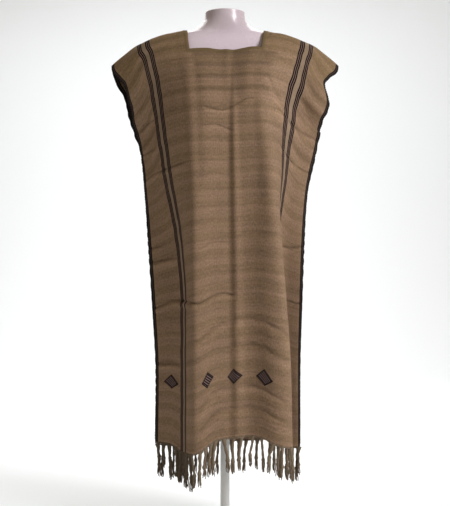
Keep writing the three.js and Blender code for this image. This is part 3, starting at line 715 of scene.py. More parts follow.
# The hems: distance across, height of the front hem, and height of the back hem.
HEM_LINE = np.array(
    [(-336, 242, 236), (-295, 242, 230), (-235, 223, 223), (-190, 227, 226), (-140, 231, 229)]
    + [(-118, 233, 228), (-95, 240, 227), (-78, 248, 226), (-58, 259, 225), (-28, 269, 223)]
    + [(0, 272, 222), (30, 276, 223), (55, 279, 224), (83, 276, 225), (108, 264, 228)]
    + [(138, 256, 231), (180, 248, 228), (235, 236, 224), (295, 233, 229), (336, 234, 234)],
    float,
)


@dataclass(frozen=True)
class ClothSize:
    """The dress's driving sizes, in millimetres.

    Attributes:
        half_width: half the loom width.
        wall: thickness of the cloth's wall.
        neck_half_width: half width of the neck opening.
        neck_hem: width of its turned hem.
        neck_rise: how much thicker the turned hem is.
        seam_gap: gap between the front and the back.
        closed_below: distance down at which the side seams start.
        stand_off: least gap between the cloth and the form.
        valley: distance across of the hollows beside the selvages.
        ridge_left, ridge_right: distances across of the two long folds.
        thread_step: step down in which the hanging warps are added up.
        row_step, column_step: distances between the grid's rows and between its columns.
        fold_step, fold_reach: distance between its columns by the middle fold, and how far out those go.
        scallop: how far the sewn selvages wander.
        scallop_reach: width of the cloth that wanders with them.
    """

    half_width: float = 336.0
    wall: float = 1.8
    neck_half_width: float = 108.0
    neck_hem: float = 11.0
    neck_rise: float = 0.9
    seam_gap: float = 0.3
    closed_below: float = 285.0
    stand_off: float = 0.9
    valley: float = 235.0
    ridge_left: float = 140.0
    ridge_right: float = 180.0
    thread_step: float = 5.0
    row_step: float = 3.0
    column_step: float = 6.0
    fold_step: float = 4.0
    fold_reach: float = 48.0
    scallop: float = 1.1
    scallop_reach: float = 13.0


SIZE = ClothSize()
PRESSING = Pressing()
DIAMOND_ROWS = 6  # rows of thread in a brocade diamond


# ---------------- the cloth's surface


@dataclass
class Surface:
    """A panel's inner face as a fine grid that other pieces can be laid on.

    Attributes:
        across: the grid's columns.
        down: the grid's rows.
        points: rows x columns x 3.
        normals: outward unit normals.
        outer: the outer face's points.
    """

    across: Array
    down: Array
    points: Array
    normals: Array
    outer: Array

    def _between(self, grid: Array, across: Array, down: Array) -> Array:
        """Values of a grid between its points, linear along both directions.

        Args:
            grid: rows x columns x 3.
            across: places across.
            down: places down.

        Returns:
            One value of three numbers for each place.
        """
        i = np.clip(np.searchsorted(self.down, down) - 1, 0, len(self.down) - 2)
        j = np.clip(np.searchsorted(self.across, across) - 1, 0, len(self.across) - 2)
        s = ((down - self.down[i]) / (self.down[i + 1] - self.down[i]))[..., None]
        t = ((across - self.across[j]) / (self.across[j + 1] - self.across[j]))[..., None]
        upper = grid[i, j] * (1 - t) + grid[i, j + 1] * t
        lower = grid[i + 1, j] * (1 - t) + grid[i + 1, j + 1] * t
        return upper * (1 - s) + lower * s

    def on_top(self, across: Array, down: Array, lift: Array | float = 0.0) -> Array:
        """Points on the outer face, lifted along its normal."""
        normal = self.normal(across, down)
        return self._between(self.outer, across, down) + normal * np.asarray(lift)[..., None]

    def normal(self, across: Array, down: Array) -> Array:
        """Outward unit normals between the grid's points."""
        return unit(self._between(self.normals, across, down))

    def inside(self, across: Array, down: Array) -> Array:
        """Points on the inner face."""
        return self._between(self.points, across, down)


@dataclass
class Panel:
    """One panel of the dress, from the shoulder fold to its hem.

    Attributes:
        name: the CAD node it replaces.
        side: front or back.
        sections: its level cuts.
        folds: its soft smaller folds.
        creases: its pressed lines.
        length: from the fold to the hem.
        neck_depth: depth of the neck opening.
        hem_column: which column of the hem table is its own.
        form: the dress form under it.
    """

    name: str
    side: Side
    sections: tuple[Section, ...]
    folds: tuple[Fold, ...]
    creases: tuple[Crease, ...]
    length: float
    neck_depth: float
    hem_column: int
    form: DressForm

    def plan(self, across: Array, down: Array) -> Array:
        """Where the cloth lies in plan: a curve over the weft through the long folds, at each distance down.

        Args:
            across: columns.
            down: rows.

        Returns:
            rows x columns x 2, the places along X and Y.
        """
        at = np.array([s.down for s in self.sections])
        knots = [through(at, np.array([s.knots(axis) for s in self.sections]).T, down).T for axis in (0, 1)]
        left = (-SIZE.half_width, -SIZE.valley, -SIZE.ridge_left)
        places = np.array([*left, 0.0, SIZE.ridge_right, SIZE.valley, SIZE.half_width])
        x = through(places, knots[0], across, monotone=False)
        y = through(places, knots[1], across, monotone=False)
        hanging = smooth(0, 55, down)[:, None]
        fold_x = np.sign(across) * through(SHOULDER_LINE[:, 0], SHOULDER_LINE[:, 1], np.abs(across))
        x = fold_x[None, :] * (1 - hanging) + x * hanging
        return np.stack([x, y + self.side.value * SIZE.seam_gap / 2], -1)

    def threads(self, across: Array, down: Array) -> Array:
        """Warp threads from the fold to the hem: each falls by what its run in plan leaves of its length.

        Args:
            across: columns.
            down: rows.

        Returns:
            rows x columns x 3.
        """
        stations = np.arange(0, self.length + 0.01, SIZE.thread_step)
        plan = self.plan(across, stations)
        level = np.linalg.norm(np.diff(plan, axis=0), axis=-1) / SIZE.thread_step
        fall = np.cumsum(np.sqrt(np.maximum(0.02, 1 - level**2)), axis=0)
        fall = np.concatenate([np.zeros((1, len(across))), fall])
        place = np.minimum(down / SIZE.thread_step, len(fall) - 1.001)
        i = np.floor(place).astype(int)
        part = (place - i)[:, None]
        fallen = fall[i] * (1 - part) + fall[i + 1] * part
        top = through(SHOULDER_LINE[:, 0], SHOULDER_LINE[:, 2], np.abs(across))
        bottom = through(HEM_LINE[:, 0], HEM_LINE[:, self.hem_column], across)
        z = top - (top - bottom) * fallen / fall[-1]
        return np.concatenate([self.plan(across, down), z[..., None]], -1)

    def fold_relief(self, across: Array, down: Array) -> Array:
        """Height of the smaller folds: a bell across times a flat-topped bell down, for each fold.

        Args:
            across: columns.
            down: rows.

        Returns:
            The height in millimetres, rows x columns, fading out at the sewn selvages.
        """
        u, v = across[None, :], down[:, None]
        fade = np.where(v < SIZE.closed_below - 60, 1.0, smooth(0, 40, SIZE.half_width - np.abs(u)))
        total = np.zeros((len(down), len(across)))
        for fold in self.folds:
            over = (u - fold.across - fold.lean * (v - fold.down)) / fold.wide
            along = (v - fold.down) / fold.long
            total += fold.height * bell(over) * bell(along**2)
        return fade * total

    def crease_relief(self, across: Array, down: Array) -> tuple[Array, Array, Array]:
        """Height of the pressed lines, painted shade in their troughs, and painted highlight on their lips.

        A line is a bell-shaped trough by the distance to it, with a broader lip just below it. It swells and
        thins along its length by half a sine and a squared cosine, and dies out past its ends as a bell.

        Args:
            across: columns.
            down: rows.

        Returns:
            The height in millimetres, the painted shade and the painted lip highlight, both from 0 to 1.
        """
        u, v = np.meshgrid(across, down)
        height, mark, painted_lip_highlight = np.zeros_like(u), np.zeros_like(u), np.zeros_like(u)
        for crease in self.creases:
            line = np.array(crease.line, float)
            if line[0, 0] > line[-1, 0]:
                line = line[::-1]
            start, end = line[0, 0], line[-1, 0]
            middle = through(line[:, 0], line[:, 1], np.clip(u, start, end), monotone=False)
            beyond = np.maximum(0, np.maximum(start - u, u - end))
            slope = np.gradient(middle, across, axis=1)
            off = (v - middle) / np.sqrt(1 + slope**2) / crease.width
            along = np.clip((u - start) / (end - start), 0, 1)
            swell = np.sin(math.pi * (0.15 + 0.7 * along)) * np.cos(along * 9 + crease.depth * 5) ** 2
            present = bell(beyond / (PRESSING.ending * crease.width)) * (0.55 + 0.45 * swell)
            trough = bell(off / PRESSING.trough)
            lip = bell((off - PRESSING.lip_at) / PRESSING.lip)
            height += present * crease.depth * (crease.lip * lip - trough)
            strength = present * min(1.0, crease.depth / PRESSING.full_depth)
            # Painted highlight on each lip, as if light from above fell on its upper flank.
            painted_lip_highlight = np.maximum(painted_lip_highlight, strength * lip)
            broad = smooth(PRESSING.crisp, PRESSING.broad, np.array(crease.width))
            # Painted shade: a dark line in the trough's upper half.
            shadow = bell((off + PRESSING.shadow_at) / PRESSING.shadow)
            mark = np.maximum(mark, (1 - PRESSING.soft_loss * broad) * strength * shadow)
        return height, mark, painted_lip_highlight

    def crumple(self, across: Array, down: Array) -> Array:
        """Slack unevenness of hand cloth: three crossed pairs of sines of uneven length.

        Args:
            across: columns.
            down: rows.

        Returns:
            The height in millimetres, under one, rows x columns.
        """
        u, v = across[None, :], down[:, None]
        return (
            0.42 * np.sin(u / 23 + 1.3 * np.sin(v / 71)) * np.sin(v / 67 + 0.8 * np.sin(u / 90))
            + 0.26 * np.sin((u + 0.6 * v) / 31 + 2.0) * np.sin((v - 0.4 * u) / 36)
            + 0.1 * np.sin(v / 13.7 + 0.5 * np.sin(u / 52)) * np.sin(u / 61 + 0.7)
        )

    def clear_of_form(self, points: Array, out: Array) -> Array:
        """Points moved straight out until they clear the form, by halving the interval of the move.

        Args:
            points: rows x columns x 3.
            out: the unit directions of the move.

        Returns:
            The points, with each one that was too near moved to the least gap.
        """
        farthest, halvings = 80.0, 24
        probe = points - SIZE.stand_off * out
        near = self.form.reach(probe) < 1
        low = np.full(near.shape, -SIZE.stand_off)
        high = np.full(near.shape, farthest)
        for _ in range(halvings):
            middle = (low + high) / 2
            inside = self.form.reach(points + middle[..., None] * out) < 1
            low, high = np.where(inside, middle, low), np.where(inside, high, middle)
        return np.where(near[..., None], points + (high + SIZE.stand_off)[..., None] * out, points)

    def lines(self) -> tuple[Array, Array]:
        """The fine grid's lines, closest by the middle fold, with lines on the neck opening's edges.

        Returns:
            The columns and the rows.
        """
        spans = (
            (0.0, SIZE.fold_reach, SIZE.fold_step),
            (SIZE.fold_reach, SIZE.neck_half_width, SIZE.column_step),
            (SIZE.neck_half_width, SIZE.half_width, SIZE.column_step),
        )
        stretches = [np.linspace(a, b, round((b - a) / step) + 1)[1:] for a, b, step in spans]
        right = np.concatenate([[0.0], *stretches])
        across = np.concatenate([-right[:0:-1], right])
        top = np.linspace(SIZE.seam_gap / 2, self.neck_depth, round(self.neck_depth / SIZE.row_step) + 1)
        count = round((self.length - self.neck_depth) / SIZE.row_step) + 1
        return across, np.concatenate([top, np.linspace(self.neck_depth, self.length, count)[1:]])

    def opening_distance(self, across: Array, down: Array) -> Array:
        """Distance from the neck opening's edge, in cloth coordinates; minus inside it."""
        return np.maximum(np.abs(across)[None, :] - SIZE.neck_half_width, down[:, None] - self.neck_depth)

    def scallop(self, across: Array, points: Array) -> Array:
        """How far the sewn selvages wander sideways: a sine of the height, whose pace and size are sines too.

        Args:
            across: columns.
            points: rows x columns x 3.

        Returns:
            The move along X, rows x columns. It fades out inwards, and up past the armholes.
        """
        z = points[..., 2]
        wave = np.sin(z / 4.6 + 1.7 * np.sin(z / 31)) * (0.6 + 0.4 * np.sin(z / 53))
        near_edge = 1 - smooth(0, SIZE.scallop_reach, SIZE.half_width - np.abs(across))
        outward = SIZE.scallop * near_edge * np.sign(across)
        return outward[None, :] * wave * (1 - smooth(1190, 1250, z))

    def surface(self) -> tuple[Surface, dict[str, Array]]:
        """The panel's fine grid: hanging warps, then folds and creases along the normal, clear of the form.

        Returns:
            The surface, and the painted shade of its creases and painted highlight on their lips.
        """
        across, down = self.lines()
        bare = self.threads(across, down)
        outward = self.side.value
        normals = grid_normals(bare, outward)
        creases, mark, painted_lip_highlight = self.crease_relief(across, down)
        relief = self.fold_relief(across, down)
        folded = bare + normals * relief[..., None]
        on_shoulder = 1 - smooth(40, 150, down)[:, None, None]
        straight = np.array([0.0, outward, 0.0])
        points = self.clear_of_form(folded, unit(straight * (1 - on_shoulder) + normals * on_shoulder))
        normals = grid_normals(points, outward)
        fine = creases + self.crumple(across, down)
        rim = SIZE.half_width - np.abs(across)[None, :]
        fade = smooth(0, 14, rim) * smooth(4, 60, down[:, None])
        fine = np.maximum(fine * fade, -3.0)
        points = self.clear_of_form(points + normals * fine[..., None], normals)
        points[..., 0] += self.scallop(across, points)
        normals = grid_normals(points, outward)
        from_neck = self.opening_distance(across, down)
        rise = SIZE.wall + SIZE.neck_rise * (1 - smooth(SIZE.neck_hem - 1.5, SIZE.neck_hem + 2.5, from_neck))
        outer = points + normals * rise[..., None]
        # The crease mark is painted shade in the troughs; the other mark is painted highlight on the lips.
        return Surface(across, down, points, normals, outer), {"crease": mark, "painted_lip_highlight": painted_lip_highlight}

    def build(self, material: bpy.types.Material) -> tuple[bpy.types.Object, Surface]:
        """Makes the panel's closed wall with its pattern coordinates and marks.

        Args:
            material: the cloth's finish.

        Returns:
            The panel, and the surface that sewing is laid on.
        """
        surface, marks = self.surface()
        across, down = surface.across, surface.down
        u, v = np.meshgrid(across, down)
        v = self.level_rows(surface, v) * -self.side.value
        centre_u = (across[1:] + across[:-1]) / 2
        centre_v = (down[1:] + down[:-1]) / 2
        keep = (np.abs(centre_u)[None, :] > SIZE.neck_half_width) | (centre_v[:, None] > self.neck_depth)
        shape = wall(surface.points, surface.outer, keep, self.side.value, np.stack([u, v], -1) * MM)
        used = shape.marks.pop("kept").astype(int) % u.size
        from_neck = self.opening_distance(across, down)
        marks["hem"] = 1 - smooth(SIZE.neck_hem - 2.0, SIZE.neck_hem + 3.0, from_neck)
        marks["yoke"] = self.yoke(across, down)
        shape.marks = {name: values.ravel()[used] for name, values in marks.items()}
        return shape.to_object(f"{self.name}_cloth", material), surface

    def level_rows(self, surface: Surface, v: Array) -> Array:
        """Pattern rows that hang nearly level: each place is moved towards the middle warp's at its height.

        Most of the move is made high up, none at the hem, and it fades out over the sleeves.

        Args:
            surface: the panel's surface.
            v: distances down, rows x columns.

        Returns:
            The distances down that the pattern follows.
        """
        middle = surface.points[:, len(surface.across) // 2, 2]
        level = np.interp(-surface.points[..., 2], -middle, surface.down)
        share = 0.8 * (1 - smooth(260, 1000, v)) * smooth(20, 110, v)
        share = share * (1 - smooth(185, 290, np.abs(surface.across)))[None, :]
        return v + share * (level - v)

    def yoke(self, across: Array, down: Array) -> Array:
        """The close-striped patch under the neck, fading over a few millimetres at its edges.

        Args:
            across: columns.
            down: rows.

        Returns:
            The patch's strength from 0 to 1, rows x columns. The back's is weaker.
        """
        u, v = across[None, :], down[:, None]
        left, right, foot = (-110, -94), (150, 172), (236, 250)
        head = (self.neck_depth + 2, self.neck_depth + 10)
        inside = smooth(*left, u) * (1 - smooth(*right, u)) * smooth(*head, v) * (1 - smooth(*foot, v))
        return (1.0 if self.side is Side.FRONT else 0.6) * inside


# ---------------- sewing


@dataclass
class Brocade:
    """Diamonds of supplementary weft, laid in diagonal rows of raised thread.

    Attributes:
        centres: (across, down, width factor) of each diamond.
        half_wide: half diagonal across.
        half_long: half diagonal down.
        rows: thread rows in a diamond.
        lift: height of the threads' lowest point above the cloth.
        ridge: height of a row above that.
    """

    centres: Rows
    half_wide: float = 22.5
    half_long: float = 21.5
    rows: int = DIAMOND_ROWS
    lift: float = 0.25
    ridge: float = 0.7

    def shape(self, surface: Surface) -> Shape:
        """Each diamond is a skewed grid over the cloth, raised by the size of a cosine of its row number.

        Args:
            surface: the panel's surface.

        Returns:
            All the diamonds, with their own coordinates from -1 to 1.
        """
        p, q = np.meshgrid(np.linspace(-1, 1, 25), np.linspace(-1, 1, 8 * self.rows + 1), indexing="ij")
        own = np.stack([p, q], -1).reshape(-1, 2)
        parts = []
        for k, (across, down, wide) in enumerate(self.centres):
            size = 1 + 0.06 * spread(np.array(float(k)), 3.0)
            u = across + size * wide * self.half_wide * (p + q) / 2
            v = down + size * self.half_long * (p - q) / 2
            edge = np.minimum(1 - np.abs(p), 1 - np.abs(q))
            row = np.abs(np.cos(math.pi * self.rows * (q + 1) / 2 + math.pi / 2))
            lift = self.lift + self.ridge * np.sqrt(row) * smooth(0, 0.06, edge) - 0.5 * (edge < 1e-6)
            points = surface.on_top(u, v, lift)
            parts.append(Shape(points.reshape(-1, 3), grid_quads(*p.shape, False), own))
        return Shape.joined(parts)


@dataclass
class WhipStitches:
    """Slanting loops of thread that join two selvages, or bind one.

    Attributes:
        pitch: distance between loops.
        bite: how far from the edge a loop enters the cloth.
        thread: radius of the thread.
        slant: how far a loop moves along the edge while it goes over it.
        pull: how far the curve's middle point stands off a seam.
        binding_share: pitch and bite of a binding, as a share of a seam's.
        binding_pull: how far the curve's middle point stands off a binding.
    """

    pitch: float = 8.6
    bite: float = 5.5
    thread: float = 1.25
    slant: float = 5.0
    pull: float = 4.2
    binding_share: float = 0.8
    binding_pull: float = 3.0

    def loops(self, near: Array, edge: Array, far: Array) -> Array:
        """Loop paths: a quadratic Bezier curve from the near bite, by a point past the edge, to the far bite.

        Args:
            near: where the loops leave the cloth, loops x 3.
            edge: their middle control points.
            far: where they enter it again.

        Returns:
            loops x stations x 3.
        """
        t = np.linspace(0, 1, 11)[None, :, None]
        return (1 - t) ** 2 * near[:, None] + 2 * t * (1 - t) * edge[:, None] + t**2 * far[:, None]

    def seam(self, front: Surface, back: Surface, sign: float, start: float) -> Shape:
        """Loops down a side seam, from the armhole to the hem, round both selvages.

        Args:
            front: the front panel's surface.
            back: the back panel's surface.
            sign: minus for the viewer's left seam.
            start: distance down at which the seam starts.

        Returns:
            The loops as closed tubes.
        """
        end = min(front.down[-1], back.down[-1]) - 4
        down = np.arange(start, end, self.pitch)
        down = down + 0.6 * spread(np.arange(len(down)).astype(float), 5.0)
        rim = np.full(len(down), sign * (SIZE.half_width - self.bite))
        edge = np.full(len(down), sign * SIZE.half_width)
        near = front.on_top(rim, down, 0.2)
        far = back.on_top(rim, np.minimum(down + self.slant, back.down[-1] - 1), 0.2)
        middle = (front.on_top(edge, down + self.slant / 2) + back.on_top(edge, down + self.slant / 2)) / 2
        away = unit(middle - (near + far) / 2)
        return self._tubes(self.loops(near, middle + away * self.pull, far))

    def binding(self, surface: Surface, sign: float, start: float, stop: float) -> Shape:
        """Loops over one selvage, from the outer face to the inner one.

        Args:
            surface: the panel's surface.
            sign: minus for the viewer's left selvage.
            start: distance down of the first loop.
            stop: distance down that no loop passes.

        Returns:
            The loops as closed tubes.
        """
        down = np.arange(start, stop, self.pitch * self.binding_share)
        rim = np.full(len(down), sign * (SIZE.half_width - self.bite * self.binding_share))
        edge = np.full(len(down), sign * SIZE.half_width)
        near = surface.on_top(rim, down, 0.2)
        slanted = np.minimum(down + self.slant * 0.6, stop)
        far = surface.inside(rim, slanted) - 0.3 * surface.normal(rim, slanted)
        middle = (surface.on_top(edge, down) + surface.inside(edge, down)) / 2
        away = unit(middle - (near + far) / 2)
        return self._tubes(self.loops(near, middle + away * self.binding_pull, far))

    def _tubes(self, paths: Array) -> Shape:
        """Round tubes along loops: the radius grows by half a sine from the ends to the middle.

        Args:
            paths: loops x stations x 3.

        Returns:
            The loops as closed tubes.
        """
        tubes, stations = paths.shape[:2]
        along = np.linspace(0, 1, stations)[None, :]
        radius = self.thread * (0.75 + 0.25 * np.sin(math.pi * along)) * np.ones((tubes, 1))
        across = np.broadcast_to([0.0, 0.3, 1.0], paths.shape)
        return sweep(paths, across, radius, round_profile(tubes, stations, 6))


@dataclass
class NeckStitches:
    """A running stitch that holds down the turned neck hem.

    Attributes:
        inset: distance from the opening's edge.
        first: distance down of the first stitches.
        length: length of a stitch.
        pitch: distance from one stitch to the next.
        thread: radius of the thread.
        loose: (across, down, step across, step down) of single stitches off the line.
    """

    inset: float = 9.0
    first: float = 6.0
    length: float = 3.4
    pitch: float = 6.2
    thread: float = 0.42
    loose: Rows = ()

    def shape(self, panel: Panel, surface: Surface) -> Shape:
        """Short tubes, humped like half a sine, along the two sides and the foot of the opening.

        Args:
            panel: the panel that the opening is in.
            surface: its surface.

        Returns:
            The stitches as closed tubes.
        """
        side_u = SIZE.neck_half_width + self.inset
        foot_v = panel.neck_depth + self.inset
        v = np.arange(self.first, foot_v, self.pitch)
        u = np.arange(-side_u, side_u, self.pitch)
        sides = [np.stack([np.full_like(v, place), v], -1) for place in (-side_u, side_u)]
        starts = np.concatenate([*sides, np.stack([u, np.full_like(u, foot_v)], -1)])
        ways = np.concatenate([np.tile([0.0, 1.0], (2 * len(v), 1)), np.tile([1.0, 0.0], (len(u), 1))])
        t = np.linspace(0, 1, 7)[None, :]
        wobble = 0.35 * spread(np.arange(len(starts)).astype(float), 9.0)[:, None]
        along = starts[:, None, :] + ways[:, None, :] * (t * self.length)[..., None]
        along = along + ways[:, None, ::-1] * wobble[..., None]
        lift = self.thread * (1.5 * np.sin(math.pi * t) - 0.4) * np.ones((len(starts), 1))
        down = np.minimum(along[..., 1], panel.length - 1)
        paths = surface.on_top(along[..., 0], down, lift)
        across = surface.normal(along[..., 0], down)
        radius = np.full(paths.shape[:2], self.thread)
        running = sweep(paths, across, radius, round_profile(*paths.shape[:2], 6))
        return Shape.joined([running, self.singles(surface)] if self.loose else [running])

    def singles(self, surface: Surface) -> Shape:
        """Single stitches off the line: straight over the cloth, humped like half a sine, in doubled thread.

        Args:
            surface: the panel's surface.

        Returns:
            The stitches as closed tubes.
        """
        t = np.linspace(0, 1, 7)[None, :]
        start = np.array(self.loose, float)[:, :, None]
        u, v = start[:, 0] + start[:, 2] * t, start[:, 1] + start[:, 3] * t
        lift = 2 * self.thread * (1.2 * np.sin(math.pi * t) - 0.2) * np.ones_like(u)
        paths = surface.on_top(u, v, lift)
        radius = np.full(paths.shape[:2], 2 * self.thread)
        return sweep(paths, surface.normal(u, v), radius, round_profile(*paths.shape[:2], 6))


@dataclass
class Fringe:
    """Twisted warp locks along a hem, each knotted and ending in a tuft of loose threads.

    Attributes:
        locks: where the locks hang and how long they are.
        salt: sets the repeatable unevenness.
        drop: gap between the hem and the heading.
        strip: height of the heading.
        thick: radius of a cord.
        knot_at: share of a lock's length at which it is knotted.
        lay: length in which the two plies make one turn.
        tuft_threads: loose threads in a tuft.
    """

    locks: tuple[Lock, ...]
    salt: float = 1.0
    drop: float = 0.2
    strip: float = 4.5
    thick: float = 3.5
    knot_at: float = 0.62
    lay: float = 21.0
    tuft_threads: int = 7

    def roots(self, surface: Surface) -> tuple[Array, Array]:
        """The middle of the hem at each lock, and the way the hem runs there.

        Args:
            surface: the panel it hangs from.

        Returns:
            Places and unit directions, locks x 3 each.
        """
        end = SIZE.half_width - 4
        across = np.array([lock.across for lock in self.locks], float)
        down = np.full(len(across), surface.down[-1] - 0.01)
        middle = (surface.on_top(across, down) + surface.inside(across, down)) / 2
        right, left = np.minimum(across + 4, end), np.maximum(across - 4, -end)
        return middle, unit(surface.on_top(right, down) - surface.on_top(left, down))

    def centre_lines(self, surface: Surface, t: Array) -> tuple[Array, Array]:
        """Each lock's centre line at shares t of its length.

        It leans over by a smooth step that ends at the knot, sways by a sine, and hangs straight down.

        Args:
            surface: the panel it hangs from.
            t: locks x stations, or one row for all.

        Returns:
            locks x stations x 3, and the way the hem runs at each root.
        """
        root, way = self.roots(surface)
        k = np.arange(len(self.locks)).astype(float)[:, None]
        lean = np.array([[lock.lean] for lock in self.locks], float)
        long = np.array([[lock.long] for lock in self.locks], float)
        x = lean * smooth(0.0, self.knot_at, t) + 1.6 * spread(k, self.salt + 2) * np.sin(3 * t)
        x = x + 0.9 * spread(k, self.salt + 5) * np.sin(11 * t + k)
        y = 2 * spread(k, self.salt + 3) * t + 0.8 * spread(k, self.salt + 6) * np.sin(7 * t)
        return root[:, None, :] + np.stack([x, y, -self.drop - long * t], -1), way

    def cords(self, surface: Surface) -> Shape:
        """Two-ply cords down to just below the knot.

        A ring is a circle whose radius swells twice a turn, and the swelling turns with the lay. The cords
        fan out along the hem by a falling exponential, and a bell-shaped bulge makes the knot.

        Args:
            surface: the panel they hang from.

        Returns:
            The cords as closed tubes.
        """
        count = len(self.locks)
        end = self.knot_at + 0.09
        t = np.linspace(0, end, 44)[None, :] * np.ones((count, 1))
        paths, way = self.centre_lines(surface, t)
        k = np.arange(count).astype(float)[:, None]
        long = np.array([[lock.long] for lock in self.locks], float)
        knot = bell((t - self.knot_at) / 0.05)
        taper = smooth(self.knot_at + 0.02, end, t)
        radius = self.thick + 0.5 * spread(k, self.salt + 8) + 2.0 * knot - 0.9 * taper
        turn = np.linspace(0, 2 * math.pi, 14, endpoint=False)[None, None, :]
        lay = (2 * math.pi * long * t / self.lay + 2 * k)[..., None]
        plies = 0.74 + 0.36 * np.abs(np.cos(turn - lay / 2)) + 0.03 * np.cos(7 * (turn - lay / 2))
        tied = 0.98 + 0.06 * np.cos(3 * turn - lay)
        in_knot = 0.75 * knot[..., None]
        ring = plies * (1 - in_knot) + tied * in_knot
        fan = np.exp(-(t * long / 6.0))[..., None]
        wide, thin = ring * (1 + 1.5 * fan), ring * (1 - 0.55 * fan)
        profile = np.stack([np.cos(turn) * wide, np.sin(turn) * thin], -1)
        return sweep(paths, np.broadcast_to(way[:, None, :], paths.shape), radius, profile)

    def tufts(self, surface: Surface) -> Shape:
        """Loose threads below each knot, spread round a circle that opens and closes like half a sine.

        Args:
            surface: the panel they hang from.

        Returns:
            The threads as closed tubes.
        """
        count = len(self.locks)
        t = np.linspace(self.knot_at, 1.0, 9)[None, :] * np.ones((count, 1))
        paths, _ = self.centre_lines(surface, t)
        k = np.arange(count).astype(float)[:, None, None]
        m = np.arange(self.tuft_threads).astype(float)[None, :, None]
        share = ((t - self.knot_at) / (1 - self.knot_at))[:, None, :]
        angle = 2 * math.pi * m / self.tuft_threads + 2.2 * spread(k + 31 * m, self.salt) + 1.2 * share
        bloom = np.sin(math.pi * share * 0.75) * (1 + 0.3 * spread(m + 7 * k, self.salt + 1))
        reach = (m > 0) * (2.2 + 2.0 * bloom)
        short = 1 - 0.16 * (1 + spread(m + 13 * k, self.salt + 4)) * share
        offset = np.stack([reach * np.cos(angle), 0.8 * reach * np.sin(angle), np.zeros_like(reach)], -1)
        tips = np.broadcast_to(paths[:, None], offset.shape).copy()
        tips[..., 2] = paths[:, None, :, 2] * short + (1 - short) * paths[:, None, :1, 2]
        lines = (tips + offset).reshape(-1, t.shape[1], 3)
        radius = (1.75 - 0.75 * np.broadcast_to(share, reach.shape)).reshape(-1, t.shape[1])
        across = np.broadcast_to([1.0, 0.2, 0.0], lines.shape)
        return sweep(lines, across, radius, round_profile(*radius.shape, 6))

    def heading(self, surface: Surface) -> Shape:
        """The narrow twined strip that the locks hang from: a rope-like tube just below the hem.

        Its ring is an ellipse that swells by a cosine of twice the turn, and the swelling turns along it.

        Args:
            surface: the panel it follows.

        Returns:
            The strip as a closed tube.
        """
        end = SIZE.half_width - 4
        across = np.linspace(-end, end, 420)
        down = np.full(len(across), surface.down[-1] - 0.01)
        middle = (surface.on_top(across, down) + surface.inside(across, down)) / 2
        middle[:, 2] -= self.drop + 0.4 * self.strip
        turn = np.linspace(0, 2 * math.pi, 10, endpoint=False)[None, None, :]
        lay = (across / 5.0)[None, :, None]
        bumps = 0.86 + 0.16 * np.cos(2 * turn - 2 * lay)
        profile = np.stack([0.72 * np.cos(turn) * bumps, np.sin(turn) * bumps], -1)
        normal = surface.normal(across, down)[None]
        return sweep(middle[None], normal, np.full((1, len(across)), self.strip / 2), profile)

    def shape(self, surface: Surface) -> Shape:
        """Heading, cords and tufts as one shape."""
        return Shape.joined([self.heading(surface), self.cords(surface), self.tufts(surface)])


# ---------------- finishes


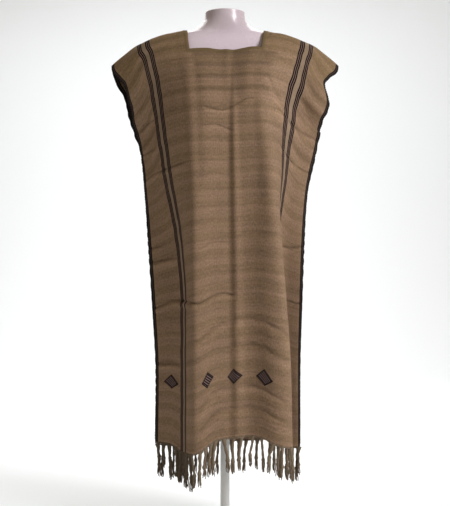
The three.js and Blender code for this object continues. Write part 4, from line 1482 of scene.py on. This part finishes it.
@dataclass
class Graph:
    """A material's node tree, built up from sums and mixes of sockets."""

    material: bpy.types.Material

    @staticmethod
    def new(name: str) -> "Graph":
        """A new material with its output and shader."""
        material = bpy.data.materials.new(name)
        material.use_nodes = True
        return Graph(material)

    @property
    def shader(self) -> bpy.types.Node:
        """The Principled shader."""
        return self.material.node_tree.nodes["Principled BSDF"]

    def node(self, kind: str) -> bpy.types.Node:
        """A new node of that kind."""
        return self.material.node_tree.nodes.new(kind)

    def put(self, socket: Socket, value: Value | tuple[float, ...]) -> None:
        """Links a socket to a socket, or sets a plain value.

        Args:
            socket: the input to fill.
            value: an output socket or a constant.
        """
        if isinstance(value, bpy.types.NodeSocket):
            self.material.node_tree.links.new(value, socket)
        else:
            socket.default_value = value

    def math(self, operation: str, *values: Value, clamp: bool = False) -> Socket:
        """A Math node.

        Args:
            operation: the node's operation.
            values: its one to three inputs.
            clamp: keep the result between 0 and 1.

        Returns:
            Its output.
        """
        node = self.node("ShaderNodeMath")
        node.operation = operation
        node.use_clamp = clamp
        for socket, value in zip(node.inputs, values):
            self.put(socket, value)
        return node.outputs[0]

    def times(self, first: Value, second: Value) -> Socket:
        """The product of two values."""
        return self.math("MULTIPLY", first, second)

    def plus(self, first: Value, second: Value, clamp: bool = False) -> Socket:
        """The sum of two values."""
        return self.math("ADD", first, second, clamp=clamp)

    def minus(self, first: Value, second: Value) -> Socket:
        """The first value less the second."""
        return self.math("SUBTRACT", first, second)

    def size(self, value: Value) -> Socket:
        """A value without its sign."""
        return self.math("ABSOLUTE", value)

    def step(self, value: Value, low: float, high: float) -> Socket:
        """A smooth step.

        Args:
            value: what it follows.
            low: where the step leaves 0.
            high: where it reaches 1.

        Returns:
            A value from 0 to 1.
        """
        node = self.node("ShaderNodeMapRange")
        node.interpolation_type = "SMOOTHSTEP"
        self.put(node.inputs["Value"], value)
        node.inputs["From Min"].default_value = low
        node.inputs["From Max"].default_value = high
        return node.outputs[0]

    def mix(self, factor: Value, first: Colour | Socket, second: Colour | Socket) -> Socket:
        """A colour between two colours.

        Args:
            factor: the second colour's share.
            first: the first colour.
            second: the second colour.

        Returns:
            The mixed colour.
        """
        node = self.node("ShaderNodeMix")
        node.data_type = "RGBA"
        self.put(node.inputs[0], factor)
        self.put(node.inputs[6], first)
        self.put(node.inputs[7], second)
        return node.outputs[2]

    def noise(self, vector: Socket, scale: float, detail: float = 2.0, roughness: float = 0.5) -> Socket:
        """Smooth noise.

        Args:
            vector: the coordinates it lies on.
            scale: how fine it is.
            detail: how many finer layers it has.
            roughness: how strong they are.

        Returns:
            A value from 0 to 1, a half on average.
        """
        node = self.node("ShaderNodeTexNoise")
        self.put(node.inputs["Vector"], vector)
        node.inputs["Scale"].default_value = scale
        node.inputs["Detail"].default_value = detail
        node.inputs["Roughness"].default_value = roughness
        return node.outputs["Fac"]

    def grain(
        self, u: Socket, v: Socket, across: float, down: float, detail: float, roughness: float = 0.5
    ) -> Socket:
        """Noise drawn out along a weave.

        Args:
            u: the place across.
            v: the place down.
            across: changes a millimetre across.
            down: changes a millimetre down.
            detail: how many finer layers it has.
            roughness: how strong they are.

        Returns:
            A value from 0 to 1, a half on average.
        """
        place = self.node("ShaderNodeCombineXYZ")
        self.put(place.inputs[0], self.times(u, across))
        self.put(place.inputs[1], self.times(v, down))
        return self.noise(place.outputs[0], 1.0, detail, roughness)

    def pattern(self) -> tuple[Socket, Socket]:
        """The piece's own pattern coordinates, in millimetres.

        Returns:
            The places across and down.
        """
        uv = self.node("ShaderNodeUVMap")
        uv.uv_map = "Pattern"
        split = self.node("ShaderNodeSeparateXYZ")
        self.put(split.inputs[0], uv.outputs[0])
        return self.times(split.outputs[0], 1 / MM), self.times(split.outputs[1], 1 / MM)

    def mark(self, name: str) -> Socket:
        """The number of that name stored at the piece's vertices."""
        node = self.node("ShaderNodeAttribute")
        node.attribute_name = name
        return node.outputs["Fac"]

    def place(self) -> Socket:
        """Object coordinates, in metres."""
        return self.node("ShaderNodeTexCoord").outputs["Object"]

    def part(self, vector: Socket, axis: str) -> Socket:
        """One coordinate of a vector: X, Y or Z."""
        node = self.node("ShaderNodeSeparateXYZ")
        self.put(node.inputs[0], vector)
        return node.outputs[axis]

    def bump(self, height: Socket, distance: float, strength: float) -> None:
        """Sends a height through a Bump node to the shader.

        Args:
            height: the relief.
            distance: how high a relief of 1 stands, in metres.
            strength: how much of it shows.
        """
        node = self.node("ShaderNodeBump")
        node.inputs["Strength"].default_value = strength
        node.inputs["Distance"].default_value = distance
        self.put(node.inputs["Height"], height)
        self.put(self.shader.inputs["Normal"], node.outputs[0])

    def cover(self, colour: Socket, roughness: Value, shine: float = 0.5) -> None:
        """Sets the finish of the shader.

        Args:
            colour: its colour.
            roughness: its roughness.
            shine: how strongly it mirrors.
        """
        self.put(self.shader.inputs["Base Color"], colour)
        self.put(self.shader.inputs["Roughness"], roughness)
        self.put(self.shader.inputs["Specular IOR Level"], shine)

    def brighten(self, colour: Socket, factor: Socket) -> Socket:
        """A colour times a brightness.

        Args:
            colour: the colour.
            factor: the brightness, 1 for no change.

        Returns:
            The brighter or darker colour.
        """
        node = self.node("ShaderNodeVectorMath")
        node.operation = "SCALE"
        self.put(node.inputs[0], colour)
        self.put(node.inputs["Scale"], factor)
        return node.outputs[0]


@dataclass(frozen=True)
class HandwovenCotton:
    """The dress's cloth: brown-beige plain weave with weft stripes, dark warp bands and dark selvages.

    Attributes:
        brown: the ground colour.
        olive: the colour it turns to in the thicker weft rows.
        band: colour of the bands' dark lines.
        band_light: colour of the lines between them.
        between: colour of the ground between the two bands.
        selvage: colour of the outer warps.
        selvage_light: colour of the one lighter line in them.
        hem: colour of the turned neck hem.
        band_places: distances from the centre to the two bands.
        between_reach: distance from the middle of the two bands at which that ground has faded out.
        band_half: half width of a band.
        line_pitch: distance between a band's dark lines.
        stripe_pitch: distance between weft stripes.
        yoke_pitch: distance between the dark rows of the patch under the neck.
        yoke_start: distance down at which their sine starts.
        selvage_width: width of the dark selvage.
        thread_pitch: distance between threads.
    """

    brown: Colour = (0.282, 0.184, 0.124, 1.0)
    olive: Colour = (0.225, 0.149, 0.084, 1.0)
    band: Colour = (0.008, 0.005, 0.006, 1.0)
    band_light: Colour = (0.27, 0.175, 0.135, 1.0)
    between: Colour = (0.27, 0.205, 0.148, 1.0)
    selvage: Colour = (0.01, 0.008, 0.008, 1.0)
    selvage_light: Colour = (0.06, 0.04, 0.034, 1.0)
    hem: Colour = (0.155, 0.108, 0.052, 1.0)
    band_places: tuple[float, float] = (217.0, 241.0)
    between_reach: float = 24.0
    band_half: float = 6.9
    line_pitch: float = 4.6
    stripe_pitch: float = 43.0
    yoke_pitch: float = 35.0
    yoke_start: float = 116.25
    selvage_width: float = 11.0
    thread_pitch: float = 1.5

    def build(self) -> bpy.types.Material:
        """The finish, on the cloth's own pattern coordinates."""
        g = Graph.new("handwoven_cotton")
        u, v = g.pattern()
        ground = self._ground(g, u, v)
        ground = g.brighten(ground, self._yoke(g, v))
        ground = g.mix(g.times(g.mark("hem"), 0.75), ground, self.hem)
        colour = self._bands(g, u, v, ground)
        # Painted shade darkens the creases' troughs and painted highlight lightens their lips, both from
        # marks stored on the cloth.
        painted_crease_shade_and_lip_light = g.minus(1.0, g.times(g.mark("crease"), 0.52))
        painted_crease_shade_and_lip_light = g.plus(painted_crease_shade_and_lip_light, g.times(g.mark("painted_lip_highlight"), 0.19))
        g.cover(g.brighten(colour, painted_crease_shade_and_lip_light), 0.9, 0.1)
        g.bump(self._weave(g, u, v), 0.0005, 0.6)
        return g.material

    def _ground(self, g: Graph, u: Socket, v: Socket) -> Socket:
        """Brown to olive by broad weft stripes and uneven rows, with threads, streaks and mottling.

        Args:
            g: the cloth's node tree.
            u: the place across.
            v: the place down.

        Returns:
            The ground's colour.
        """
        drift = g.grain(u, v, 0.0015, 0.02, 2.0)
        phase = g.plus(g.times(v, 2 * math.pi / self.stripe_pitch), g.times(drift, 5.0))
        stripe = g.minus(g.times(g.step(g.math("SINE", phase), -0.5, 0.5), 2.0), 1.0)
        mottle = g.grain(u, v, 0.016, 0.016, 3.0, 0.6)
        unevenness = (
            (g.grain(u, v, 0.0016, 0.085, 3.0, 0.75), 0.72),  # thick and thin weft rows
            (g.grain(u, v, 0.03, 0.42, 2.0, 0.6), 0.2),  # slubs
            (g.grain(u, v, 0.07, 0.24, 2.0, 0.6), 0.42),  # short dashes
            (g.grain(u, v, 0.27, 0.14, 3.0, 0.7), 1.15),  # single threads
            (g.grain(u, v, 0.5, 0.012, 2.0, 0.6), 0.24),  # warp streaks
            (mottle, 0.46),
        )
        total = g.times(stripe, 0.04)
        for part, weight in unevenness:
            total = g.plus(total, g.times(g.minus(part, 0.5), weight))
        shoulder = g.minus(1.0, g.step(g.size(v), 30.0, 190.0))
        lean = g.plus(g.times(stripe, -0.16), g.times(mottle, 0.9))
        lean = g.plus(g.minus(lean, 0.2), g.times(shoulder, 0.75), clamp=True)
        tint = g.mix(lean, self.brown, self.olive)
        return g.brighten(tint, g.plus(1.0, total))

    def _yoke(self, g: Graph, v: Socket) -> Socket:
        """Brightness of the close-striped patch under the neck: dark rows by a sine, weaker low down.

        Args:
            g: the cloth's node tree.
            v: the place down.

        Returns:
            The brightness, 1 off the patch.
        """
        turn = 2 * math.pi / self.yoke_pitch
        wave = g.math("SINE", g.times(g.minus(g.size(v), self.yoke_start), turn))
        dark = g.plus(g.times(g.step(wave, -0.2, 0.95), 0.26), 0.05)
        dark = g.times(dark, g.mark("yoke"))
        lower = g.times(g.step(g.size(v), 168.0, 205.0), 0.45)
        dark = g.times(dark, g.minus(1.0, lower))
        return g.minus(1.0, dark)

    def _bands(self, g: Graph, u: Socket, v: Socket, ground: Socket) -> Socket:
        """Dark lines inside each warp band, and the dark selvage with one lighter line.

        Args:
            g: the cloth's node tree.
            u: the place across.
            v: the place down.
            ground: the cloth's colour beside them.

        Returns:
            The colour with the bands and the selvages in it.
        """
        out = g.size(u)
        wander = g.grain(u, v, 0.02, 0.12, 2.0)
        out = g.plus(out, g.times(g.minus(wander, 0.5), 0.5))
        first, second = self.band_places
        strip = g.size(g.minus(out, (first + second) / 2))
        strip = g.minus(1.0, g.step(strip, (second - first) / 2 - 2, self.between_reach))
        colour = g.mix(g.times(strip, 0.6), ground, self.between)
        sway = g.times(g.minus(g.grain(u, v, 0.004, 0.022, 2.0), 0.5), 6.0)
        for place in self.band_places:
            off = g.plus(g.minus(out, place), sway)
            inside = g.minus(1.0, g.step(g.size(off), self.band_half - 0.4, self.band_half + 0.5))
            lines = g.math("COSINE", g.times(off, 2 * math.pi / self.line_pitch))
            dark = g.step(lines, -0.92, -0.55)
            colour = g.mix(inside, colour, g.mix(dark, self.band_light, self.band))
        begins = SIZE.half_width - self.selvage_width
        edge = g.step(out, begins - 0.5, begins + 0.5)
        inner = g.size(g.minus(out, SIZE.half_width - 0.6 * self.selvage_width))
        light = g.minus(1.0, g.step(inner, 0.8, 1.6))
        return g.mix(edge, colour, g.mix(light, self.selvage, self.selvage_light))

    def _weave(self, g: Graph, u: Socket, v: Socket) -> Socket:
        """Plain weave: the product of two sines at the thread pitch, over uneven weft rows.

        Args:
            g: the cloth's node tree.
            u: the place across.
            v: the place down.

        Returns:
            The relief's height.
        """
        turn = 2 * math.pi / self.thread_pitch
        warp, weft = (g.math("SINE", g.times(place, turn)) for place in (u, v))
        rows = g.grain(u, v, 0.03, 0.55, 2.0, 0.6)
        return g.plus(g.times(g.times(warp, weft), 0.5), g.times(rows, 1.6))


@dataclass(frozen=True)
class BrocadeThread:
    """The diamonds' thread: dark rows with mauve-brown rows between them, dark round the rim.

    Attributes:
        dark: colour of the dark rows and the rim.
        light: colour of the rows between.
        rows: rows in a diamond.
    """

    dark: Colour = (0.007, 0.005, 0.006, 1.0)
    light: Colour = (0.3, 0.2, 0.19, 1.0)
    rows: int = DIAMOND_ROWS

    def build(self) -> bpy.types.Material:
        """The finish, on each diamond's own coordinates from -1 to 1."""
        g = Graph.new("brocade_thread")
        p, q = (g.times(c, MM) for c in g.pattern())
        wave = g.math("COSINE", g.times(g.plus(q, 1.0), math.pi * self.rows))
        row = g.step(wave, -0.85, -0.25)
        rim = g.math("MAXIMUM", g.size(p), g.size(q))
        row = g.math("MAXIMUM", row, g.step(rim, 0.78, 0.83))
        g.cover(g.mix(row, self.light, self.dark), 0.85, 0.1)
        twist = g.math("SINE", g.times(g.plus(p, g.times(q, 0.6)), 60.0))
        g.bump(twist, 0.0002, 0.5)
        return g.material


@dataclass(frozen=True)
class TwistedYarn:
    """Cotton yarn for fringe and sewing: a two-tone twist.

    Attributes:
        name: the finish's name.
        dark: colour between the strands.
        light: colour of the strands.
        lay: distance along the yarn for one strand.
        faded: how much brighter the yarn is across the middle of the hem.
        faded_from, faded_to: where along X that stretch comes on and dies out, in metres.
    """

    name: str
    dark: Colour
    light: Colour
    lay: float = 2.2
    faded: float = 0.0
    faded_from: tuple[float, float] = (-0.1, -0.06)
    faded_to: tuple[float, float] = (0.18, 0.2)

    def build(self) -> bpy.types.Material:
        """The finish, on the tube's coordinates: distance round it and along it."""
        g = Graph.new(self.name)
        round_it, along = g.pattern()
        slant = g.plus(g.times(along, 1 / self.lay), g.times(round_it, 0.2))
        strand = g.math("SINE", g.times(slant, 2 * math.pi))
        fleck = g.noise(g.place(), 260.0, 3.0, 0.7)
        shade = g.plus(g.times(strand, 0.22), fleck, clamp=True)
        colour = g.mix(shade, self.dark, self.light)
        if self.faded:
            x = g.part(g.place(), "X")
            middle = g.minus(g.step(x, *self.faded_from), g.step(x, *self.faded_to))
            colour = g.brighten(colour, g.plus(1.0, g.times(middle, self.faded)))
        g.cover(colour, 0.9, 0.12)
        g.bump(g.plus(strand, g.times(fleck, 1.2)), 0.0004, 0.6)
        return g.material


@dataclass(frozen=True)
class GlossShell:
    """The torso's moulded shell: pale lilac-white gloss with a faint orange-peel.

    Attributes:
        colour: the neck's colour.
        shade: the colour its cloudy patches turn to.
        shoulder: the lighter colour of the chest and shoulders, painted top light.
        painted_top_light_heights: the heights between which the one turns into the other, in metres.
    """

    colour: Colour = (0.6, 0.505, 0.555, 1.0)
    shade: Colour = (0.52, 0.43, 0.485, 1.0)
    shoulder: Colour = (0.735, 0.625, 0.715, 1.0)
    painted_top_light_heights: tuple[float, float] = (1.335, 1.385)

    def build(self) -> bpy.types.Material:
        """The finish, on Object coordinates."""
        g = Graph.new("gloss_shell")
        place = g.place()
        cloud = g.step(g.noise(place, 9.0, 3.0, 0.6), 0.35, 0.7)
        # Painted top light: the shell is given a lighter colour on the chest and shoulders, below the neck.
        low = g.minus(1.0, g.step(g.part(place, "Z"), *self.painted_top_light_heights))
        shell = g.mix(cloud, self.colour, self.shade)
        smear = g.noise(place, 30.0, 4.0, 0.6)
        g.cover(g.mix(low, shell, self.shoulder), g.plus(0.2, g.times(smear, 0.14)))
        g.shader.inputs["Coat Weight"].default_value = 0.15
        g.shader.inputs["Coat Roughness"].default_value = 0.12
        g.bump(g.noise(place, 140.0, 2.0, 0.5), 0.0003, 0.15)
        return g.material


@dataclass(frozen=True)
class StandPaint:
    """White powder coat on the stand, finely textured, with faint dusty patches.

    Attributes:
        colour: the clean coat.
        grime: the dusty patches.
    """

    colour: Colour = (0.8, 0.8, 0.8, 1.0)
    grime: Colour = (0.62, 0.61, 0.6, 1.0)

    def build(self) -> bpy.types.Material:
        """The finish, on Object coordinates."""
        g = Graph.new("stand_paint")
        place = g.place()
        dust = g.step(g.noise(place, 18.0, 5.0, 0.7), 0.52, 0.78)
        g.cover(g.mix(g.times(dust, 0.5), self.colour, self.grime), g.plus(0.32, g.times(dust, 0.2)))
        g.bump(g.noise(place, 700.0, 2.0, 0.6), 0.0002, 0.25)
        return g.material


@dataclass(frozen=True)
class StudioPaper:
    """Pale matt paper with a hardly visible cloudiness.

    Attributes:
        colour: its colour.
        cloud: the colour it turns to in the clouds.
    """

    colour: Colour = (0.863, 0.888, 0.922, 1.0)
    cloud: Colour = (0.871, 0.896, 0.93, 1.0)

    def build(self) -> bpy.types.Material:
        """The finish, on Object coordinates."""
        g = Graph.new("studio_paper")
        g.cover(g.mix(g.noise(g.place(), 1.2, 2.0), self.colour, self.cloud), 0.9)
        return g.material


# ---------------- assemblies


def settle(piece: bpy.types.Object, slot: Slot, *nodes: str) -> bpy.types.Object:
    """Rides a piece on the root body and reports it.

    Args:
        piece: the new piece.
        slot: its material slot; not used.
        nodes: the CAD nodes that it stands for.

    Returns:
        The piece.
    """
    if nodes:
        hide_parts(*nodes)
    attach(piece, ROOT)
    LOG.info("%s: %d faces", piece.name, len(piece.data.polygons))
    return piece


@dataclass
class Stand:
    """The floor stand: base plate, pole foot, pole and the flange under the torso, as turned outlines.

    Attributes:
        around: points in a ring.
        form_bottom: height of the torso's foot.
        seat: gap between two parts that sit on each other.
        pole_radius, flange_radius, base_radius, foot_radius: outer radii of the four parts.
        flange_height, base_height, foot_height: their heights.
        foot_step: height of the foot's broad lower part.
        foot_wall: how much wider than the pole the foot's upper part is.
    """

    around: int = 96
    form_bottom: float = 772.0
    seat: float = 0.3
    pole_radius: float = 12.5
    flange_radius: float = 45.0
    flange_height: float = 8.0
    base_radius: float = 150.0
    base_height: float = 8.0
    foot_radius: float = 30.0
    foot_height: float = 26.0
    foot_step: float = 6.0
    foot_wall: float = 5.0

    def turned(self, outline: list[tuple[float, float, float]]) -> Shape:
        """A surface of revolution, whose corners are rounded by quadratic curves.

        Args:
            outline: corners as (radius, height, rounding), in order up the outside; the two ends are plain.

        Returns:
            The closed surface.
        """
        line = [outline[0][:2]]
        for before, corner, after in zip(outline, outline[1:], outline[2:]):
            c = np.array(corner[:2])
            to_before = unit(np.array(before[:2]) - c)
            to_after = unit(np.array(after[:2]) - c)
            for t in np.linspace(0, 1, 6 if corner[2] else 1):
                a, b = c + to_before * corner[2], c + to_after * corner[2]
                line.append(tuple((1 - t) ** 2 * a + 2 * t * (1 - t) * c + t**2 * b))
        line.append(outline[-1][:2])
        profile = np.array(line)
        angle = np.linspace(0, 2 * math.pi, self.around, endpoint=False)
        r, z = profile[:, 0][:, None], profile[:, 1][:, None]
        points = np.stack(np.broadcast_arrays(r * np.cos(angle), r * np.sin(angle), z), -1)
        quads = grid_quads(len(profile), self.around, True)[:, ::-1]
        return Shape(points.reshape(-1, 3), quads)

    def build(self, paint: bpy.types.Material) -> None:
        """Makes the four turned pieces.

        Args:
            paint: the stand's finish.
        """
        bottom = self.base_height + self.seat
        flange_top = self.form_bottom - self.seat
        flange_bottom = flange_top - self.flange_height
        pole_top = flange_bottom - self.seat
        base, plate, flange = self.base_radius, self.base_height, self.flange_radius
        foot, pole, bore = self.foot_radius, self.pole_radius, self.pole_radius + self.seat
        foot_top = bottom + self.foot_height
        pieces = {
            "base_plate": [(0, 0, 0), (base, 0, 0.6), (base, plate, 3.0), (0, plate, 0)],
            "pole": [(0, bottom, 0), (pole, bottom, 0.5), (pole, pole_top, 0.5), (0, pole_top, 0)],
            "pole_foot": [
                (bore, bottom + 1, 0),
                (bore, bottom, 0.2),
                (foot, bottom, 0.4),
                (foot, bottom + self.foot_step, 2.5),
                (pole + self.foot_wall, foot_top, 2.0),
                (bore, foot_top, 0.3),
                (bore, bottom + 1, 0),
            ],
            "form_flange": [
                (0, flange_bottom, 0),
                (flange, flange_bottom, 1.5),
                (flange, flange_top, 0.8),
                (0, flange_top, 0),
            ],
        }
        for name, outline in pieces.items():
            settle(self.turned(outline).to_object(f"{name}_fine", paint), Slot.STAND, name)


@dataclass
class Dress:
    """The whole dress: two panels, brocade, sewing and fringes.

    Attributes:
        form: what it hangs on.
        front_length: shoulder fold to front hem.
        back_length: shoulder fold to back hem.
        front_neck: depth of the neck opening in the front.
        back_neck: its depth in the back.
        diamonds: (across, down, width factor) of the front's diamonds.
        loose_stitches: single stitches beside the front's neck opening.
        back_diamonds: the same for the back's.
    """

    form: DressForm
    front_length: float = 1150.0
    back_length: float = 1172.0
    front_neck: float = 111.0
    back_neck: float = 34.0
    diamonds: Rows = (
        (-282, 972, 1.18), (-70, 981, 1.0), (18, 989, 0.95), (88, 992, 0.92), (270, 966, 1.0)
    )
    loose_stitches: Rows = (
        (127.5, 55.0, 3.2, -7.0), (132.5, 56.0, 3.0, -7.0)
    )
    back_diamonds: Rows = (
        (-284, 992, 1.1), (-92, 1000, 1.0), (4, 1002, 0.95), (96, 1000, 1.0), (284, 992, 1.1)
    )

    def build(self, torso: bpy.types.Object) -> None:
        """Makes every piece of the dress.

        Args:
            torso: the fine torso that the cloth rests on; not used.
        """
        cotton = HandwovenCotton().build()
        thread = BrocadeThread().build()
        sewing = TwistedYarn("seam_yarn", (0.02, 0.016, 0.018, 1.0), (0.06, 0.045, 0.045, 1.0)).build()
        hem_yarn = TwistedYarn("hem_yarn", (0.12, 0.09, 0.05, 1.0), (0.22, 0.165, 0.1, 1.0), 1.2).build()
        warp_ends = (0.072, 0.053, 0.037, 1.0), (0.18, 0.138, 0.098, 1.0)
        fringe_yarn = TwistedYarn("fringe_yarn", *warp_ends, faded=0.75).build()
        front = Panel("dress_front", Side.FRONT, FRONT_SECTIONS, FRONT_FOLDS + FINE_FOLDS, FRONT_CREASES,
                      self.front_length, self.front_neck, 1, self.form)
        back = Panel("dress_back", Side.BACK, BACK_SECTIONS, BACK_FOLDS, BACK_CREASES,
                     self.back_length, self.back_neck, 2, self.form)
        surfaces, sheets, trims = {}, {}, {}
        for panel, centres in ((front, self.diamonds), (back, self.back_diamonds)):
            word, is_front = panel.side.name.lower(), panel.side is Side.FRONT
            piece, surface = panel.build(cotton)
            surfaces[panel.side], sheets[panel.side] = surface, settle(piece, Slot.CLOTH, panel.name)
            brocade = Brocade(centres).shape(surface)
            if not is_front:
                brocade.quads = brocade.quads[:, ::-1]
            neck = NeckStitches(loose=self.loose_stitches if is_front else ()).shape(panel, surface)
            fringe = (Fringe(FRONT_LOCKS, 1.0) if is_front else Fringe(BACK_LOCKS, 7.0)).shape(surface)
            node = f"fringe_{word}"
            trims[panel.side] = [
                settle(brocade.to_object(f"brocade_{word}", thread), Slot.FRINGE),
                settle(neck.to_object(f"neck_stitches_{word}", hem_yarn), Slot.CLOTH),
                settle(fringe.to_object(f"{node}_locks", fringe_yarn), Slot.FRINGE, node),
            ]
        self.sew(surfaces, trims, sewing)

    def sew(
        self,
        surfaces: dict[Side, Surface],
        trims: dict[Side, list[bpy.types.Object]],
        sewing: bpy.types.Material,
    ) -> None:
        """Whips the side seams together and binds the armholes.

        Args:
            surfaces: both panels' surfaces.
            trims: each panel's small pieces; the seams join the front's.
            sewing: the thread's finish.
        """
        stitches = WhipStitches()
        front, back = surfaces[Side.FRONT], surfaces[Side.BACK]
        seams = Shape.joined([stitches.seam(front, back, sign, SIZE.closed_below) for sign in (-1.0, 1.0)])
        trims[Side.FRONT].append(settle(seams.to_object("seam_stitches", sewing), Slot.FRINGE))
        for side in Side:
            loops = [stitches.binding(surfaces[side], sign, 4.0, SIZE.closed_below) for sign in (-1.0, 1.0)]
            piece = Shape.joined(loops).to_object(f"armhole_stitches_{side.name.lower()}", sewing)
            trims[side].append(settle(piece, Slot.FRINGE))


@dataclass(frozen=True)
class Lamp:
    """A square area light.

    Attributes:
        name: its name.
        place: where it hangs, in metres.
        aim: the point it is turned towards.
        size: its side.
        power: in watts.
    """

    name: str
    place: tuple[float, float, float]
    aim: tuple[float, float, float]
    size: float
    power: float

    def build(self) -> None:
        """Makes the light and turns it towards its aim."""
        data = bpy.data.lights.new(self.name, "AREA")
        data.size = self.size
        data.energy = self.power
        lamp = bpy.data.objects.new(self.name, data)
        lamp.location = self.place
        x, y, z = (a - p for a, p in zip(self.aim, self.place))
        lamp.rotation_euler = (math.atan2(math.hypot(x, y), -z), 0.0, math.atan2(y, x) - math.pi / 2)
        bpy.context.scene.collection.objects.link(lamp)


@dataclass
class Studio:
    """A pale floor that sweeps up behind the piece, soft lights and a level camera.

    Attributes:
        camera_distance: from the dress form's axis.
        camera_height: above the floor.
        lens: focal length on a 36 mm frame.
        air, air_strength: colour and strength of the dim light from all round.
        lamps: the lights.
    """

    camera_distance: float = 2.75
    camera_height: float = 0.76
    lens: float = 71.15
    air: Colour = (1.0, 0.87, 0.62, 1.0)
    air_strength: float = 0.22
    lamps: tuple[Lamp, ...] = (
        Lamp("key", (2.285, -1.786, 2.202), (0.0, 0.0, 0.85), 1.2, 78.0),
        Lamp("wall", (0.0, 1.4, 3.6), (0.0, 4.6, 1.2), 3.0, 73.0),
        Lamp("floor", (-0.4, 2.1, 3.0), (-0.4, 1.8, 0.0), 3.0, 74.0),
        Lamp("top", (-0.5, -0.9, 3.0), (0.0, 0.0, 1.3), 1.0, 2.5),
    )

    def build(self) -> None:
        """Makes the backdrop, the lights and the camera."""
        self.backdrop()
        for lamp in self.lamps:
            lamp.build()
        world = bpy.data.worlds.new("studio_air")
        world.use_nodes = True
        sky = world.node_tree.nodes["Background"]
        sky.inputs["Color"].default_value = self.air
        sky.inputs["Strength"].default_value = self.air_strength
        scene = bpy.context.scene
        scene.world = world
        scene.view_settings.view_transform = "Standard"
        data = bpy.data.cameras.new("view")
        data.lens = self.lens
        data.sensor_width = 36.0
        camera = bpy.data.objects.new("view", data)
        camera.location = (0.0, -self.camera_distance, self.camera_height)
        camera.rotation_euler = (math.pi / 2, 0.0, 0.0)
        scene.collection.objects.link(camera)
        scene.camera = camera

    def backdrop(self) -> None:
        """A floor joined to a wall by a quarter circle, swept along X; lengths in metres."""
        near, half_width, reach, rise, bend = -7.0, 9.0, 3.2, 6.0, 1.6
        turn = np.linspace(0, math.pi / 2, 24)
        y = np.concatenate([[near, 0.0], reach + bend * np.sin(turn), [reach + bend]])
        z = np.concatenate([[0.0, 0.0], bend * (1 - np.cos(turn)), [rise]])
        x = np.array([-half_width, half_width])
        points = np.stack(np.broadcast_arrays(x[None, :], y[:, None], z[:, None]), -1) / MM
        shape = Shape(points.reshape(-1, 3), grid_quads(len(y), 2, False)[:, ::-1])
        shape.to_object("floor_sweep", StudioPaper().build())


def main() -> None:
    """Builds the stand, the form, the dress and the studio, in that order."""
    logging.basicConfig(level=logging.INFO, format="%(name)s %(message)s")
    Stand().build(StandPaint().build())
    form = DressForm()
    torso = settle(form.shape().to_object("torso_shell", GlossShell().build()), Slot.FORM, "form_torso")
    Dress(form).build(torso)
    Studio().build()


if __name__ == "__main__":
    main()
